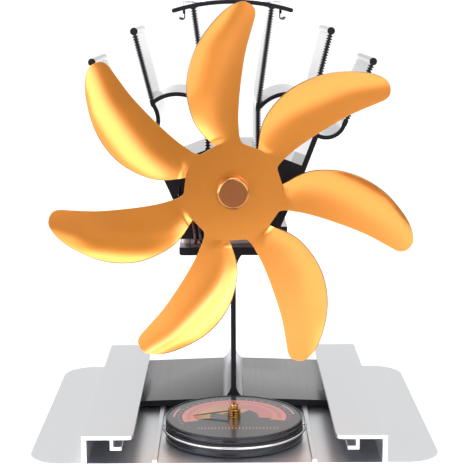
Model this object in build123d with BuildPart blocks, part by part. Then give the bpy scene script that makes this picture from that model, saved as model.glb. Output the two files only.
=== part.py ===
"""Heat-powered stove fan standing in a wide aluminium tray, with a loose dial thermometer in front of it.

Millimetres. The origin is the centre of the tray's bottom face, +Z is up and the front looks towards -Y.
"""
from build123d import *
from math import atan, cos, hypot, pi, radians, sin, sqrt, tan
import os

os.makedirs("parts", exist_ok=True)

# Fits and cutters that every piece shares
run_gap = 0.05
seat_gap = 0.1
cut_over = 1.0

# Tray: one aluminium extrusion that runs from front to back
tray_width = 176.7
tray_depth = 147.2
plate_t = 2.4
plate_corner_r = 15.0
rail_span = 129.4
rail_height = 12.0
rail_wall_t = 2.1
rail_flange_t = 1.7
rail_mouth = 86.0
rail_corner_r = 2.6
hook_span = 105.4
hook_t = 1.4
hook_drop = 4.6
hook_foot_t = 1.6
hook_reach = 4.9
rib_spacing = 67.8
rib_w = 2.0
rib_h = 1.5
edge_break = 0.35

# Heat post: the lower extrusion, with its foot, thin stem and lower platform
post_depth = 71.4
post_front_y = 0.0
foot_width = 116.0
foot_edge_t = 2.1
foot_middle_t = 4.0
stem_t = 2.4
foot_flare_w = 9.8
foot_flare_h = 5.3
head_flare_w = 7.8
head_flare_h = 6.6
flare_pull_share = 0.36
post_height = 77.3
platform_t = 3.8
platform_w = 50.6
platform_corner_r = 1.3

# Thermoelectric module between the two platforms
module_w = 40.0
module_t = 3.7
module_ceramic_t = 0.8
module_leg_w = 1.6
module_leg_rows = 8
module_seal_w = 1.0
pad_t = 0.2

# Heat sink: the upper extrusion, drawn as shares of its half width and of its height to the crown
sink_depth = 57.6
sink_half_w = 64.3
sink_height = 109.2
sink_platform_t = 5.7
fin_t = 2.3
arch_t = 1.9
stalk_t = 2.5
knob_r = 1.75
fin_rib_pitch = 1.2
fin_rib_depth = 0.28
crown_end_share = (0.414, 0.9643)
inner_fin_top_share = (0.278, 0.984)
inner_fin_knee_share = (0.180, 0.5595)
inner_fin_root_share = (0.180, 0.37)
knob_one_share = (0.698, 0.879)
fin_bend_share = (0.569, 0.574)
fin_waist_share = (0.534, 0.508)
fin_heel_share = (0.545, 0.476)
fork_share = (0.600, 0.445)
fork_low_share = (0.706, 0.436)
fork_out_share = (0.799, 0.488)
knob_two_share = (1.0, 0.752)
bridge_left_share = (0.190, 0.5595)
bridge_crown_share = (0.388, 0.6185)
bridge_right_share = (0.574, 0.582)
shoulder_share = (0.199, 0.382)
hip_top_share = (0.519, 0.3095)
hip_low_share = (0.519, 0.283)
waist_share = 0.347
stalk_root_share = (0.500, 0.290)

# Clamp screws that squeeze the module between the platforms
clamp_spacing_x = 45.0
clamp_inset_y = 12.0
clamp_r = 1.5
clamp_head_r = 2.6
clamp_head_t = 1.8
clamp_drive_r = 0.9
clamp_drive_depth = 0.9
clamp_bite = 4.2
clamp_bush_wall = 0.5

# Motor, pushed into the sink's bore from the front
hub_height = 24.4
motor_r = 12.1
motor_t = 12.4
motor_inset = 1.0
motor_wall_t = 0.8
motor_cap_t = 1.8
bush_r = 2.6
bush_out = 1.6
magnet_t = 2.6
magnet_arc = 120.0
magnet_length = 8.0
motor_air_gap = 0.4
core_length = 6.0
core_hub_r = 2.6
core_tooth_w = 2.2
core_shoe_t = 1.3
core_shoe_arc = 96.0
core_poles = 3
coil_w = 4.6
coil_side_angle = 106.0
coil_over = 0.9
commutator_r = 2.2
commutator_length = 2.4
brush_w = 1.6
brush_t = 0.6
terminal_t = 0.5
terminal_w = 2.4
terminal_near_length = 3.0
terminal_far_length = 5.2
terminal_x = 7.5
set_screw_r = 1.5
set_screw_length = 5.0
set_screw_socket_r = 0.8
set_screw_y = 7.0

# Slot beside the bore that takes the two leads to the motor's back
lead_slot_reach = 25.6
lead_slot_h = 4.6
lead_slot_drop = 1.9
lead_r = 0.6
lead_standoff = 2.4
lead_mouth_r = 3.6

# Rotor: pressed aluminium wheel with seven blades
shaft_r = 1.0
shaft_tail = 0.8
wheel_standoff = 15.7
wheel_r = 85.1
wheel_t = 0.8
wheel_disc_r = 22.4
wheel_slit_w = 0.5
wheel_bore_r = 3.6
blade_count = 7
first_blade_angle = 86.5
blade_rise = 6.0
blade_root_share = 0.22
blade_slit_angle = 20.6
boss_r = 6.2
boss_length = 8.0
hub_cap_t = 5.4
hub_cap_rim_w = 0.7
hub_cap_dish = 0.35
grub_r = 1.2
grub_length = 3.4
grub_socket_r = 0.6

# Edge of a blade, as (share of the wheel's radius, degrees from the blade's tip line)
blade_edge_shares = [
    (0.255, -6.8), (0.285, -3.9), (0.33, -1.9), (0.40, -0.5), (0.50, -0.3), (0.62, -0.8),
    (0.74, -1.6), (0.86, -3.0), (0.94, -3.7), (0.98, -2.6), (1.0, 0.2), (0.985, 3.0),
    (0.945, 6.6), (0.88, 11.2), (0.80, 16.6), (0.70, 22.4), (0.60, 27.2), (0.50, 30.6),
    (0.41, 32.7), (0.34, 32.9), (0.295, 31.9), (0.274, 29.4),
]

# Bend of a blade: (along, where the bend starts, where the edge is) as shares of the radius, then the rise
blade_bend_shares = [
    (0.20, 0.082, 0.125, 0.14), (0.36, 0.136, 0.228, 0.32), (0.48, 0.141, 0.269, 0.60),
    (0.60, 0.116, 0.275, 0.87), (0.72, 0.090, 0.255, 1.00), (0.83, 0.065, 0.207, 0.80),
    (0.93, 0.035, 0.126, 0.43), (1.02, 0.004, 0.050, 0.12),
]
blade_skirt_share = 0.16
blade_over_share = 0.035

# Carrying handle: a bent wire whose hooked ends hang in two holes of the crown
handle_span = 43.6
handle_wire_r = 0.62
handle_reach = 41.0
handle_corner_r = 7.0
handle_lean = 40.0
handle_hole_r = 1.95
handle_rise = 3.2
handle_drop = 3.6
handle_hook_length = 1.6
handle_hook_r = 1.5

# Thermometer: a flat tin with a printed dial, a bimetal coil and a lifting ring
tin_gap = 6.7
tin_r = 30.9
tin_wall_t = 0.8
tin_base_h = 5.9
cover_r = 30.7
cover_h = 3.2
cover_lip_w = 0.9
cover_lip_t = 0.35
dial_t = 0.4
tin_magnet_r = 4.5
tin_magnet_t = 2.0
tin_magnet_ring_r = 20.0
tin_magnet_count = 3
coil_strip_t = 0.4
coil_strip_w = 2.6
coil_pitch = 1.7
coil_turns = 5
coil_lift = 3.0
coil_post_w = 1.6
spindle_r = 0.9
spindle_bush_r = 2.0
spindle_bush_h = 2.0
spindle_flange_r = 3.0
spindle_flange_t = 0.5
pointer_hub_r = 2.55
pointer_hub_h = 3.0
pointer_knob_r = 1.45
pointer_knob_h = 2.4
pointer_length = 18.6
pointer_w = 1.3
pointer_t = 0.5
ring_r = 32.05
ring_wire_r = 0.62
ring_height = 4.9
ring_pin_in = 2.4

# Places worked out from the sizes above
plate_top_z = plate_t
rail_top_z = plate_top_z + rail_height
flange_low_z = rail_top_z - rail_flange_t
hook_low_z = flange_low_z - hook_drop
foot_z = plate_top_z + rib_h
post_top_z = foot_z + post_height
post_back_y = post_front_y + post_depth
module_low_z = post_top_z + pad_t
module_top_z = module_low_z + module_t
sink_z = module_top_z + pad_t
sink_front_y = post_front_y
sink_back_y = sink_front_y + sink_depth
sink_mid_y = sink_front_y + sink_depth / 2
hub_z = sink_z + hub_height
sink_body_z = sink_z + sink_platform_t
wheel_y = sink_front_y - wheel_standoff
motor_front_y = sink_front_y + motor_inset
motor_back_y = motor_front_y + motor_t
motor_cap_back_y = motor_back_y + motor_cap_t
bore_r = motor_r + seat_gap
mid_x = 0.0
dial_y = post_front_y - tin_gap - tin_r


def facing_front(y):
    """Sketch plane at this y whose normal looks forward, so that an extrusion from it runs forward."""
    return Plane.XZ.offset(-y)


def at_hub(y):
    """The same plane, with its origin on the rotor's axis."""
    return Plane(origin=(mid_x, y, hub_z), x_dir=(1, 0, 0), z_dir=(0, -1, 0))


def at_dial(z):
    """Level plane with its origin on the thermometer's axis."""
    return Plane(origin=(mid_x, dial_y, z))


with BuildPart() as dock_tray:
    with BuildSketch(Plane.XY):
        RectangleRounded(tray_width, tray_depth, plate_corner_r)
    extrude(amount=plate_t)
    with BuildSketch(facing_front(tray_depth / 2)):
        with Locations((rail_span / 2, plate_top_z)):
            Rectangle(rail_wall_t, rail_height, align=(Align.MAX, Align.MIN))
        with Locations((rail_span / 2, rail_top_z)):
            Rectangle((rail_span - rail_mouth) / 2, rail_flange_t, align=(Align.MAX, Align.MAX))
        with Locations((hook_span / 2, flange_low_z)):
            Rectangle(hook_t, hook_drop, align=(Align.MAX, Align.MAX))
        with Locations((hook_span / 2, hook_low_z)):
            Rectangle(hook_reach, hook_foot_t, align=(Align.MAX, Align.MIN))
        with Locations((rib_spacing / 2, plate_top_z)):
            Rectangle(rib_w, rib_h, align=(Align.CENTER, Align.MIN))
        mirror(about=Plane.YZ)
    extrude(amount=tray_depth)
    upright = dock_tray.edges().filter_by(Axis.Z)
    flange_corners = upright.filter_by(
        lambda e: abs(abs(e.center().X) - rail_mouth / 2) < edge_break and e.center().Z > flange_low_z
    )
    fillet(flange_corners, rail_corner_r)
    rail_tops = dock_tray.edges().filter_by(Axis.Y).filter_by(
        lambda e: e.center().Z > rail_top_z - edge_break and abs(e.center().X) > rail_mouth / 2 + edge_break
    )
    chamfer(rail_tops, edge_break)
dock_tray.part.label = "dock_tray"
export_step(dock_tray.part, "parts/dock_tray.step")


def flare(edge, root, pull):
    """Slightly hollow slope from one point to another, pulled towards the corner between them."""
    corner = (root[0], edge[1])
    chord = ((edge[0] + root[0]) / 2, (edge[1] + root[1]) / 2)
    control = (chord[0] + (corner[0] - chord[0]) * pull, chord[1] + (corner[1] - chord[1]) * pull)
    return Bezier(edge, control, root)


with BuildPart() as heat_post:
    foot_top_z = foot_z + foot_middle_t
    platform_low_z = post_top_z - platform_t
    with BuildSketch(facing_front(post_back_y)) as post_profile:
        with BuildLine():
            Polyline(
                (mid_x, foot_z),
                (foot_width / 2, foot_z),
                (foot_width / 2, foot_z + foot_edge_t),
                (foot_flare_w / 2, foot_top_z),
            )
            flare((foot_flare_w / 2, foot_top_z), (stem_t / 2, foot_top_z + foot_flare_h), flare_pull_share)
            Line((stem_t / 2, foot_top_z + foot_flare_h), (stem_t / 2, platform_low_z - head_flare_h))
            flare((head_flare_w / 2, platform_low_z), (stem_t / 2, platform_low_z - head_flare_h),
                  flare_pull_share)
            Polyline(
                (head_flare_w / 2, platform_low_z),
                (platform_w / 2, platform_low_z),
                (platform_w / 2, post_top_z),
                (mid_x, post_top_z),
                (mid_x, foot_z),
            )
        make_face()
        mirror(about=Plane.YZ)
        platform_corners = post_profile.vertices().filter_by(
            lambda v: abs(abs(v.X) - platform_w / 2) < edge_break and v.Y < platform_low_z + edge_break
        )
        fillet(platform_corners, platform_corner_r)
    extrude(amount=post_depth)
    with Locations(Plane.XY.offset(platform_low_z)):
        with Locations((mid_x, sink_mid_y)):
            with GridLocations(clamp_spacing_x, sink_depth - 2 * clamp_inset_y, 2, 2):
                Cylinder(clamp_r + seat_gap, platform_t, align=(Align.CENTER, Align.CENTER, Align.MIN),
                         mode=Mode.SUBTRACT)
heat_post.part.label = "heat_post"
export_step(heat_post.part, "parts/heat_post.step")


# Thermoelectric module and its two heat-conducting pads
with BuildPart() as lower_pad:
    with BuildSketch(Plane.XY.offset(post_top_z)):
        with Locations((mid_x, sink_mid_y)):
            Rectangle(module_w, module_w)
    extrude(amount=pad_t)
lower_pad.part.label = "lower_pad"
export_step(lower_pad.part, "parts/lower_pad.step")

with BuildPart() as module_hot_plate:
    with BuildSketch(Plane.XY.offset(module_low_z)):
        with Locations((mid_x, sink_mid_y)):
            Rectangle(module_w, module_w)
    extrude(amount=module_ceramic_t)
module_hot_plate.part.label = "module_hot_plate"
export_step(module_hot_plate.part, "parts/module_hot_plate.step")

module_leg_h = module_t - 2 * module_ceramic_t
module_leg_area = module_w - 2 * module_seal_w - 2 * module_leg_w
with BuildPart() as module_legs:
    with BuildSketch(Plane.XY.offset(module_low_z + module_ceramic_t)):
        with Locations((mid_x, sink_mid_y)):
            leg_pitch = module_leg_area / (module_leg_rows - 1)
            with GridLocations(leg_pitch, leg_pitch, module_leg_rows, module_leg_rows):
                Rectangle(module_leg_w, module_leg_w)
    extrude(amount=module_leg_h)
module_legs.part.label = "module_legs"
export_step(module_legs.part, "parts/module_legs.step")

with BuildPart() as module_seal:
    with BuildSketch(Plane.XY.offset(module_low_z + module_ceramic_t)):
        with Locations((mid_x, sink_mid_y)):
            Rectangle(module_w, module_w)
            Rectangle(module_w - 2 * module_seal_w, module_w - 2 * module_seal_w, mode=Mode.SUBTRACT)
    extrude(amount=module_leg_h)
module_seal.part.label = "module_seal"
export_step(module_seal.part, "parts/module_seal.step")

with BuildPart() as module_cold_plate:
    with BuildSketch(Plane.XY.offset(module_top_z - module_ceramic_t)):
        with Locations((mid_x, sink_mid_y)):
            Rectangle(module_w, module_w)
    extrude(amount=module_ceramic_t)
module_cold_plate.part.label = "module_cold_plate"
export_step(module_cold_plate.part, "parts/module_cold_plate.step")

with BuildPart() as upper_pad:
    with BuildSketch(Plane.XY.offset(module_top_z)):
        with Locations((mid_x, sink_mid_y)):
            Rectangle(module_w, module_w)
    extrude(amount=pad_t)
upper_pad.part.label = "upper_pad"
export_step(upper_pad.part, "parts/upper_pad.step")


def sink_point(share):
    """A point of the heat sink's profile, from its shares of half width and height."""
    return (mid_x + share[0] * sink_half_w, sink_z + share[1] * sink_height)


def thick_line(start, end, width):
    """Straight web of one width between two points, in the sketch that is open."""
    with BuildLine(mode=Mode.PRIVATE) as web:
        Line(start, end)
    trace(web.edges(), line_width=width)


def thick_arc(start, middle, end, width):
    """Curved web of one width through three points, in the sketch that is open."""
    with BuildLine(mode=Mode.PRIVATE) as web:
        ThreePointArc(start, middle, end)
    trace(web.edges(), line_width=width)


def ribbed_fin(start, end, width, smooth_start):
    """Straight fin with fine saw-tooth ribs along both faces, plain for a length at its start."""
    run = hypot(end[0] - start[0], end[1] - start[1])
    along = ((end[0] - start[0]) / run, (end[1] - start[1]) / run)
    teeth = int((run - smooth_start) / fin_rib_pitch)
    step = (run - smooth_start) / teeth
    edge = [(0, width / 2), (smooth_start, width / 2)]
    for tooth in range(teeth):
        edge.append((smooth_start + (tooth + 1 / 2) * step, width / 2 - fin_rib_depth))
        edge.append((smooth_start + (tooth + 1) * step, width / 2))
    edge = edge + [(s, -w) for s, w in reversed(edge)]
    corners = [(start[0] + s * along[0] - w * along[1], start[1] + s * along[1] + w * along[0]) for s, w in edge]
    with BuildLine(mode=Mode.PRIVATE) as fin:
        Polyline(*corners, close=True)
    make_face(fin.edges())


crown_top = (mid_x, sink_z + sink_height)
crown_end = sink_point(crown_end_share)
crown_end_left = (2 * mid_x - crown_end[0], crown_end[1])
crown_half = crown_end[0] - mid_x
crown_fall = crown_top[1] - crown_end[1]
crown_r = (crown_half**2 + crown_fall**2) / (2 * crown_fall)
inner_knee = sink_point(inner_fin_knee_share)
inner_root = sink_point(inner_fin_root_share)
fin_bend = sink_point(fin_bend_share)
fork = sink_point(fork_share)
fork_out = sink_point(fork_out_share)


def crown_z(x):
    """Height of the crown's middle surface at this distance from the centre line."""
    return crown_top[1] - crown_r + sqrt(crown_r**2 - x**2)


with BuildPart() as heat_sink:
    with BuildSketch(facing_front(sink_back_y)):
        with BuildLine():
            Polyline(
                (mid_x, sink_z),
                (platform_w / 2, sink_z),
                (platform_w / 2, sink_body_z),
                (mid_x + waist_share * sink_half_w, sink_body_z),
                sink_point(hip_low_share),
                sink_point(hip_top_share),
                sink_point(shoulder_share),
                (mid_x, sink_point(shoulder_share)[1]),
                (mid_x, sink_z),
            )
        make_face()
        ribbed_fin(inner_knee, sink_point(inner_fin_top_share), fin_t, fin_t)
        ribbed_fin(inner_root, inner_knee, fin_t, fin_t)
        ribbed_fin(fin_bend, sink_point(knob_one_share), fin_t, fin_t)
        ribbed_fin(fork_out, sink_point(knob_two_share), fin_t, fin_t)
        with Locations(sink_point(knob_one_share), sink_point(knob_two_share)):
            Circle(knob_r)
        with Locations(inner_knee, fin_bend, fork_out):
            Circle(fin_t / 2)
        thick_arc(sink_point(bridge_left_share), sink_point(bridge_crown_share),
                  sink_point(bridge_right_share), arch_t)
        with BuildLine():
            Spline(fin_bend, sink_point(fin_waist_share), sink_point(fin_heel_share), fork)
        trace(line_width=arch_t)
        thick_arc(fork, sink_point(fork_low_share), fork_out, arch_t)
        with Locations(fork):
            Circle(stalk_t / 2)
        thick_line(sink_point(stalk_root_share), fork, stalk_t)
        mirror(about=Plane.YZ)
        thick_arc(crown_end_left, crown_top, crown_end, arch_t)
        with Locations(crown_end, crown_end_left):
            Circle(arch_t / 2)
        with Locations((mid_x, hub_z)):
            Circle(bore_r, mode=Mode.SUBTRACT)
        with Locations((mid_x, hub_z - lead_slot_drop)):
            Rectangle(lead_slot_reach, lead_slot_h, align=(Align.MAX, Align.CENTER), mode=Mode.SUBTRACT)
    extrude(amount=sink_depth)
    with Locations(Plane.XY.offset(sink_z)):
        with Locations((mid_x, sink_mid_y)):
            with GridLocations(clamp_spacing_x, sink_depth - 2 * clamp_inset_y, 2, 2):
                Cylinder(clamp_r, clamp_bite, align=(Align.CENTER, Align.CENTER, Align.MIN),
                         mode=Mode.SUBTRACT)
    for side in (-1, 1):
        handle_hole_x = mid_x + side * handle_span / 2
        with Locations((handle_hole_x, sink_mid_y, crown_z(handle_span / 2))):
            Cylinder(handle_hole_r, arch_t + 2 * cut_over, mode=Mode.SUBTRACT)
    with Locations((mid_x, motor_front_y + set_screw_y, hub_z)):
        Cylinder(set_screw_r, sink_point(shoulder_share)[1] - hub_z + cut_over,
                 align=(Align.CENTER, Align.CENTER, Align.MIN), mode=Mode.SUBTRACT)
heat_sink.part.label = "heat_sink"
export_step(heat_sink.part, "parts/heat_sink.step")


# Four clamp screws, from under the lower platform up into the sink, with insulating bushes
clamp_under_z = post_top_z - platform_t
with BuildPart() as clamp_screws:
    with Locations((mid_x, sink_mid_y, clamp_under_z)):
        with GridLocations(clamp_spacing_x, sink_depth - 2 * clamp_inset_y, 2, 2):
            Cylinder(clamp_r, sink_z - clamp_under_z + clamp_bite,
                     align=(Align.CENTER, Align.CENTER, Align.MIN))
            Cylinder(clamp_head_r, clamp_head_t, align=(Align.CENTER, Align.CENTER, Align.MAX))
    with Locations((mid_x, sink_mid_y, clamp_under_z - clamp_head_t)):
        with GridLocations(clamp_spacing_x, sink_depth - 2 * clamp_inset_y, 2, 2):
            Cylinder(clamp_drive_r, clamp_drive_depth, align=(Align.CENTER, Align.CENTER, Align.MIN),
                     mode=Mode.SUBTRACT)
clamp_screws.part.label = "clamp_screws"
export_step(clamp_screws.part, "parts/clamp_screws.step")

with BuildPart() as clamp_bushes:
    with BuildSketch(Plane.XY.offset(post_top_z)):
        with Locations((mid_x, sink_mid_y)):
            with GridLocations(clamp_spacing_x, sink_depth - 2 * clamp_inset_y, 2, 2):
                Circle(clamp_r + seat_gap + clamp_bush_wall)
                Circle(clamp_r + seat_gap, mode=Mode.SUBTRACT)
    extrude(amount=sink_z - post_top_z)
clamp_bushes.part.label = "clamp_bushes"
export_step(clamp_bushes.part, "parts/clamp_bushes.step")


# Motor
with BuildPart() as motor_can:
    with BuildSketch(at_hub(motor_back_y)):
        Circle(motor_r)
    extrude(amount=motor_t)
    with BuildSketch(at_hub(motor_back_y)):
        Circle(motor_r - motor_wall_t)
    extrude(amount=motor_t - motor_wall_t, mode=Mode.SUBTRACT)
    with BuildSketch(at_hub(motor_back_y)):
        Circle(bush_r)
    extrude(amount=motor_t, mode=Mode.SUBTRACT)
    front_rim = motor_can.edges().filter_by(GeomType.CIRCLE).group_by(Axis.Y)[0].sort_by(SortBy.RADIUS)[-1]
    fillet(front_rim, motor_wall_t)
motor_can.part.label = "motor_can"
export_step(motor_can.part, "parts/motor_can.step")

with BuildPart() as motor_end_cap:
    with BuildSketch(at_hub(motor_cap_back_y)):
        Circle(motor_r)
        Circle(bush_r, mode=Mode.SUBTRACT)
    extrude(amount=motor_cap_t)
motor_end_cap.part.label = "motor_end_cap"
export_step(motor_end_cap.part, "parts/motor_end_cap.step")

with BuildPart() as motor_front_bush:
    with BuildSketch(at_hub(motor_front_y + motor_wall_t)):
        Circle(bush_r)
        Circle(shaft_r + run_gap, mode=Mode.SUBTRACT)
    extrude(amount=motor_wall_t + bush_out)
motor_front_bush.part.label = "motor_front_bush"
export_step(motor_front_bush.part, "parts/motor_front_bush.step")

with BuildPart() as motor_rear_bush:
    with BuildSketch(at_hub(motor_cap_back_y)):
        Circle(bush_r)
        Circle(shaft_r + run_gap, mode=Mode.SUBTRACT)
    extrude(amount=motor_cap_t)
motor_rear_bush.part.label = "motor_rear_bush"
export_step(motor_rear_bush.part, "parts/motor_rear_bush.step")

magnet_outer_r = motor_r - motor_wall_t
magnet_inner_r = magnet_outer_r - magnet_t
magnet_front_y = motor_front_y + motor_wall_t
with BuildPart() as motor_magnets:
    with BuildSketch(at_hub(magnet_front_y + magnet_length)):
        with BuildLine():
            outer_arc = CenterArc((0, 0), magnet_outer_r, -magnet_arc / 2, magnet_arc)
            inner_arc = CenterArc((0, 0), magnet_inner_r, -magnet_arc / 2, magnet_arc)
            Line(outer_arc @ 0, inner_arc @ 0)
            Line(outer_arc @ 1, inner_arc @ 1)
        make_face()
        mirror(about=Plane.YZ)
    extrude(amount=magnet_length)
motor_magnets.part.label = "motor_magnets"
export_step(motor_magnets.part, "parts/motor_magnets.step")

core_r = magnet_inner_r - motor_air_gap
core_front_y = magnet_front_y + (magnet_length - core_length) / 2
core_back_y = core_front_y + core_length
commutator_back_y = motor_back_y - seat_gap
commutator_front_y = commutator_back_y - commutator_length

with BuildPart() as motor_brushes:
    with BuildSketch(at_hub(motor_back_y)):
        for side in (-1, 1):
            with Locations((side * (commutator_r + run_gap + brush_t / 2), 0)):
                Rectangle(brush_t, 2 * commutator_r + brush_w)
    extrude(amount=commutator_length)
motor_brushes.part.label = "motor_brushes"
export_step(motor_brushes.part, "parts/motor_brushes.step")

lead_near_z = hub_z - lead_slot_drop - lead_slot_h / 4
lead_far_z = hub_z - lead_slot_drop + lead_slot_h / 4
with BuildPart() as motor_terminals:
    with Locations((mid_x - terminal_x, motor_cap_back_y, lead_near_z)):
        Box(terminal_t, terminal_near_length, terminal_w, align=(Align.MIN, Align.MIN, Align.CENTER))
    with Locations((mid_x + terminal_x, motor_cap_back_y, lead_far_z)):
        Box(terminal_t, terminal_far_length, terminal_w, align=(Align.MIN, Align.MIN, Align.CENTER))
motor_terminals.part.label = "motor_terminals"
export_step(motor_terminals.part, "parts/motor_terminals.step")

with BuildPart() as motor_set_screw:
    with Locations((mid_x, motor_front_y + set_screw_y, hub_z + motor_r)):
        Cylinder(set_screw_r, set_screw_length, align=(Align.CENTER, Align.CENTER, Align.MIN))
    with Locations((mid_x, motor_front_y + set_screw_y, hub_z + motor_r + set_screw_length)):
        Cylinder(set_screw_socket_r, set_screw_length / 3, align=(Align.CENTER, Align.CENTER, Align.MAX),
                 mode=Mode.SUBTRACT)
    with BuildSketch(at_hub(motor_front_y + set_screw_y + set_screw_r)):
        Circle(motor_r)
    extrude(amount=2 * set_screw_r, mode=Mode.SUBTRACT)
motor_set_screw.part.label = "motor_set_screw"
export_step(motor_set_screw.part, "parts/motor_set_screw.step")


# Leads from the module's front edge, up the sink's face and through the slot to the motor's terminals
lead_exit_z = (module_low_z + module_top_z) / 2
lead_exit_y = sink_mid_y - module_w / 2
lead_front_y = sink_front_y - lead_standoff
lead_near_back_y = motor_cap_back_y + terminal_near_length - lead_r
lead_far_back_y = motor_cap_back_y + terminal_far_length - lead_r
lead_near_points = [
    (-17.4, lead_exit_y, lead_exit_z),
    (-17.4, lead_front_y, lead_exit_z),
    (-18.8, lead_front_y, 95.4),
    (-23.8, lead_front_y, lead_near_z),
    (-23.8, lead_near_back_y, lead_near_z),
    (mid_x - terminal_x, lead_near_back_y, lead_near_z),
]
lead_far_points = [
    (-14.9, lead_exit_y, lead_exit_z),
    (-14.9, lead_front_y, lead_exit_z),
    (-16.5, lead_front_y, 96.2),
    (-21.6, lead_front_y, lead_far_z),
    (-21.6, lead_far_back_y, lead_far_z),
    (mid_x + terminal_x, lead_far_back_y, lead_far_z),
]


def bend_radii(points):
    """Largest tangent arc at each corner: 0.45 of the shorter run over the tangent of half the turn."""
    radii = []
    for before, corner, after in zip(points, points[1:], points[2:]):
        run_in = Vector(*corner) - Vector(*before)
        run_out = Vector(*after) - Vector(*corner)
        turn = run_in.get_angle(run_out)
        radii.append(0.45 * min(run_in.length, run_out.length) / tan(radians(turn / 2)))
    return radii


for lead_name, lead_points in (("module_lead_near", lead_near_points), ("module_lead_far", lead_far_points)):
    lead_radii = bend_radii(lead_points)
    lead_radii[2] = lead_mouth_r
    with BuildPart() as module_lead:
        with BuildLine() as lead_path:
            FilletPolyline(*lead_points, radius=lead_radii)
        with BuildSketch(Plane(origin=lead_path.line @ 0, z_dir=lead_path.line % 0)):
            Circle(lead_r)
        sweep(path=lead_path.line)
    lead_length = lead_path.wire().length
    print(lead_name, "radii", [round(r, 1) for r in lead_radii], "length", round(lead_length, 1),
          "volume share", round(module_lead.part.volume / (pi * lead_r**2 * lead_length), 4))
    module_lead.part.label = lead_name
    export_step(module_lead.part, f"parts/{lead_name}.step")


# Rotor
cap_front_y = wheel_y - wheel_t / 2 - hub_cap_t
boss_back_y = wheel_y + wheel_t / 2 + boss_length
shaft_front_y = wheel_y - wheel_t / 2 - hub_cap_t / 2
shaft_back_y = motor_cap_back_y + shaft_tail
with BuildPart() as motor_shaft:
    with BuildSketch(at_hub(shaft_back_y)):
        Circle(shaft_r)
    extrude(amount=shaft_back_y - shaft_front_y)
motor_shaft.part.label = "motor_shaft"
export_step(motor_shaft.part, "parts/motor_shaft.step")

with BuildPart() as armature_core:
    with BuildSketch(at_hub(core_back_y)):
        Circle(core_hub_r)
        for pole in range(core_poles):
            pole_angle = pole * 360 / core_poles
            with BuildLine():
                shoe_outer = CenterArc((0, 0), core_r, pole_angle - core_shoe_arc / 2, core_shoe_arc)
                shoe_inner = CenterArc((0, 0), core_r - core_shoe_t, pole_angle - core_shoe_arc / 2,
                                       core_shoe_arc)
                Line(shoe_outer @ 0, shoe_inner @ 0)
                Line(shoe_outer @ 1, shoe_inner @ 1)
            make_face()
        with PolarLocations(core_hub_r / 2, core_poles):
            Rectangle(core_r - core_hub_r / 2 - core_shoe_t / 2, core_tooth_w, align=(Align.MIN, Align.CENTER))
        Circle(shaft_r, mode=Mode.SUBTRACT)
    extrude(amount=core_length)
armature_core.part.label = "armature_core"
export_step(armature_core.part, "parts/armature_core.step")

coil_inner_r = core_hub_r + seat_gap
coil_outer_r = core_r - core_shoe_t - seat_gap
with BuildPart() as armature_coils:
    with BuildSketch(at_hub(core_back_y + coil_over)):
        with PolarLocations(coil_inner_r, core_poles):
            Trapezoid(coil_w, coil_outer_r - coil_inner_r, coil_side_angle, rotation=-90,
                      align=(Align.CENTER, Align.MIN))
        Circle(coil_outer_r, mode=Mode.INTERSECT)
    extrude(amount=core_length + 2 * coil_over)
    with BuildSketch(at_hub(core_back_y)):
        with PolarLocations(0, core_poles):
            Rectangle(core_r, core_tooth_w, align=(Align.MIN, Align.CENTER))
        Circle(coil_inner_r)
    extrude(amount=core_length, mode=Mode.SUBTRACT)
armature_coils.part.label = "armature_coils"
export_step(armature_coils.part, "parts/armature_coils.step")

with BuildPart() as commutator:
    with BuildSketch(at_hub(commutator_back_y)):
        Circle(commutator_r)
        Circle(shaft_r, mode=Mode.SUBTRACT)
    extrude(amount=commutator_length)
commutator.part.label = "commutator"
export_step(commutator.part, "parts/commutator.step")


def blade_directions(angle):
    """Outward and counter-clockwise directions of a blade whose tip line lies at this angle."""
    outward = Vector(cos(radians(angle)), 0, sin(radians(angle)))
    sideways = Vector(-sin(radians(angle)), 0, cos(radians(angle)))
    return outward, sideways


def bent_section(bend_x, edge_x, rise):
    """Cross-section of the sheet: flat up to the bend, then a tangent arc that rises past the edge."""
    reach = edge_x - bend_x
    span = reach + blade_over_share * wheel_r
    lift = rise * (span / reach) ** 2
    bend_r = (span**2 + lift**2) / (2 * lift)
    turn = 2 * atan(lift / span)
    flat_x = -blade_skirt_share * wheel_r
    front_r = bend_r - wheel_t / 2
    back_r = bend_r + wheel_t / 2

    def on_arc(r, share):
        return (bend_x + r * sin(turn * share), bend_r - r * cos(turn * share))

    with BuildLine(mode=Mode.PRIVATE) as section:
        Line((flat_x, -wheel_t / 2), (bend_x, -wheel_t / 2))
        ThreePointArc((bend_x, -wheel_t / 2), on_arc(back_r, 1 / 2), on_arc(back_r, 1))
        Line(on_arc(back_r, 1), on_arc(front_r, 1))
        ThreePointArc(on_arc(front_r, 1), on_arc(front_r, 1 / 2), (bend_x, wheel_t / 2))
        Line((bend_x, wheel_t / 2), (flat_x, wheel_t / 2))
        Line((flat_x, wheel_t / 2), (flat_x, -wheel_t / 2))
    make_face(section.edges())


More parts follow.
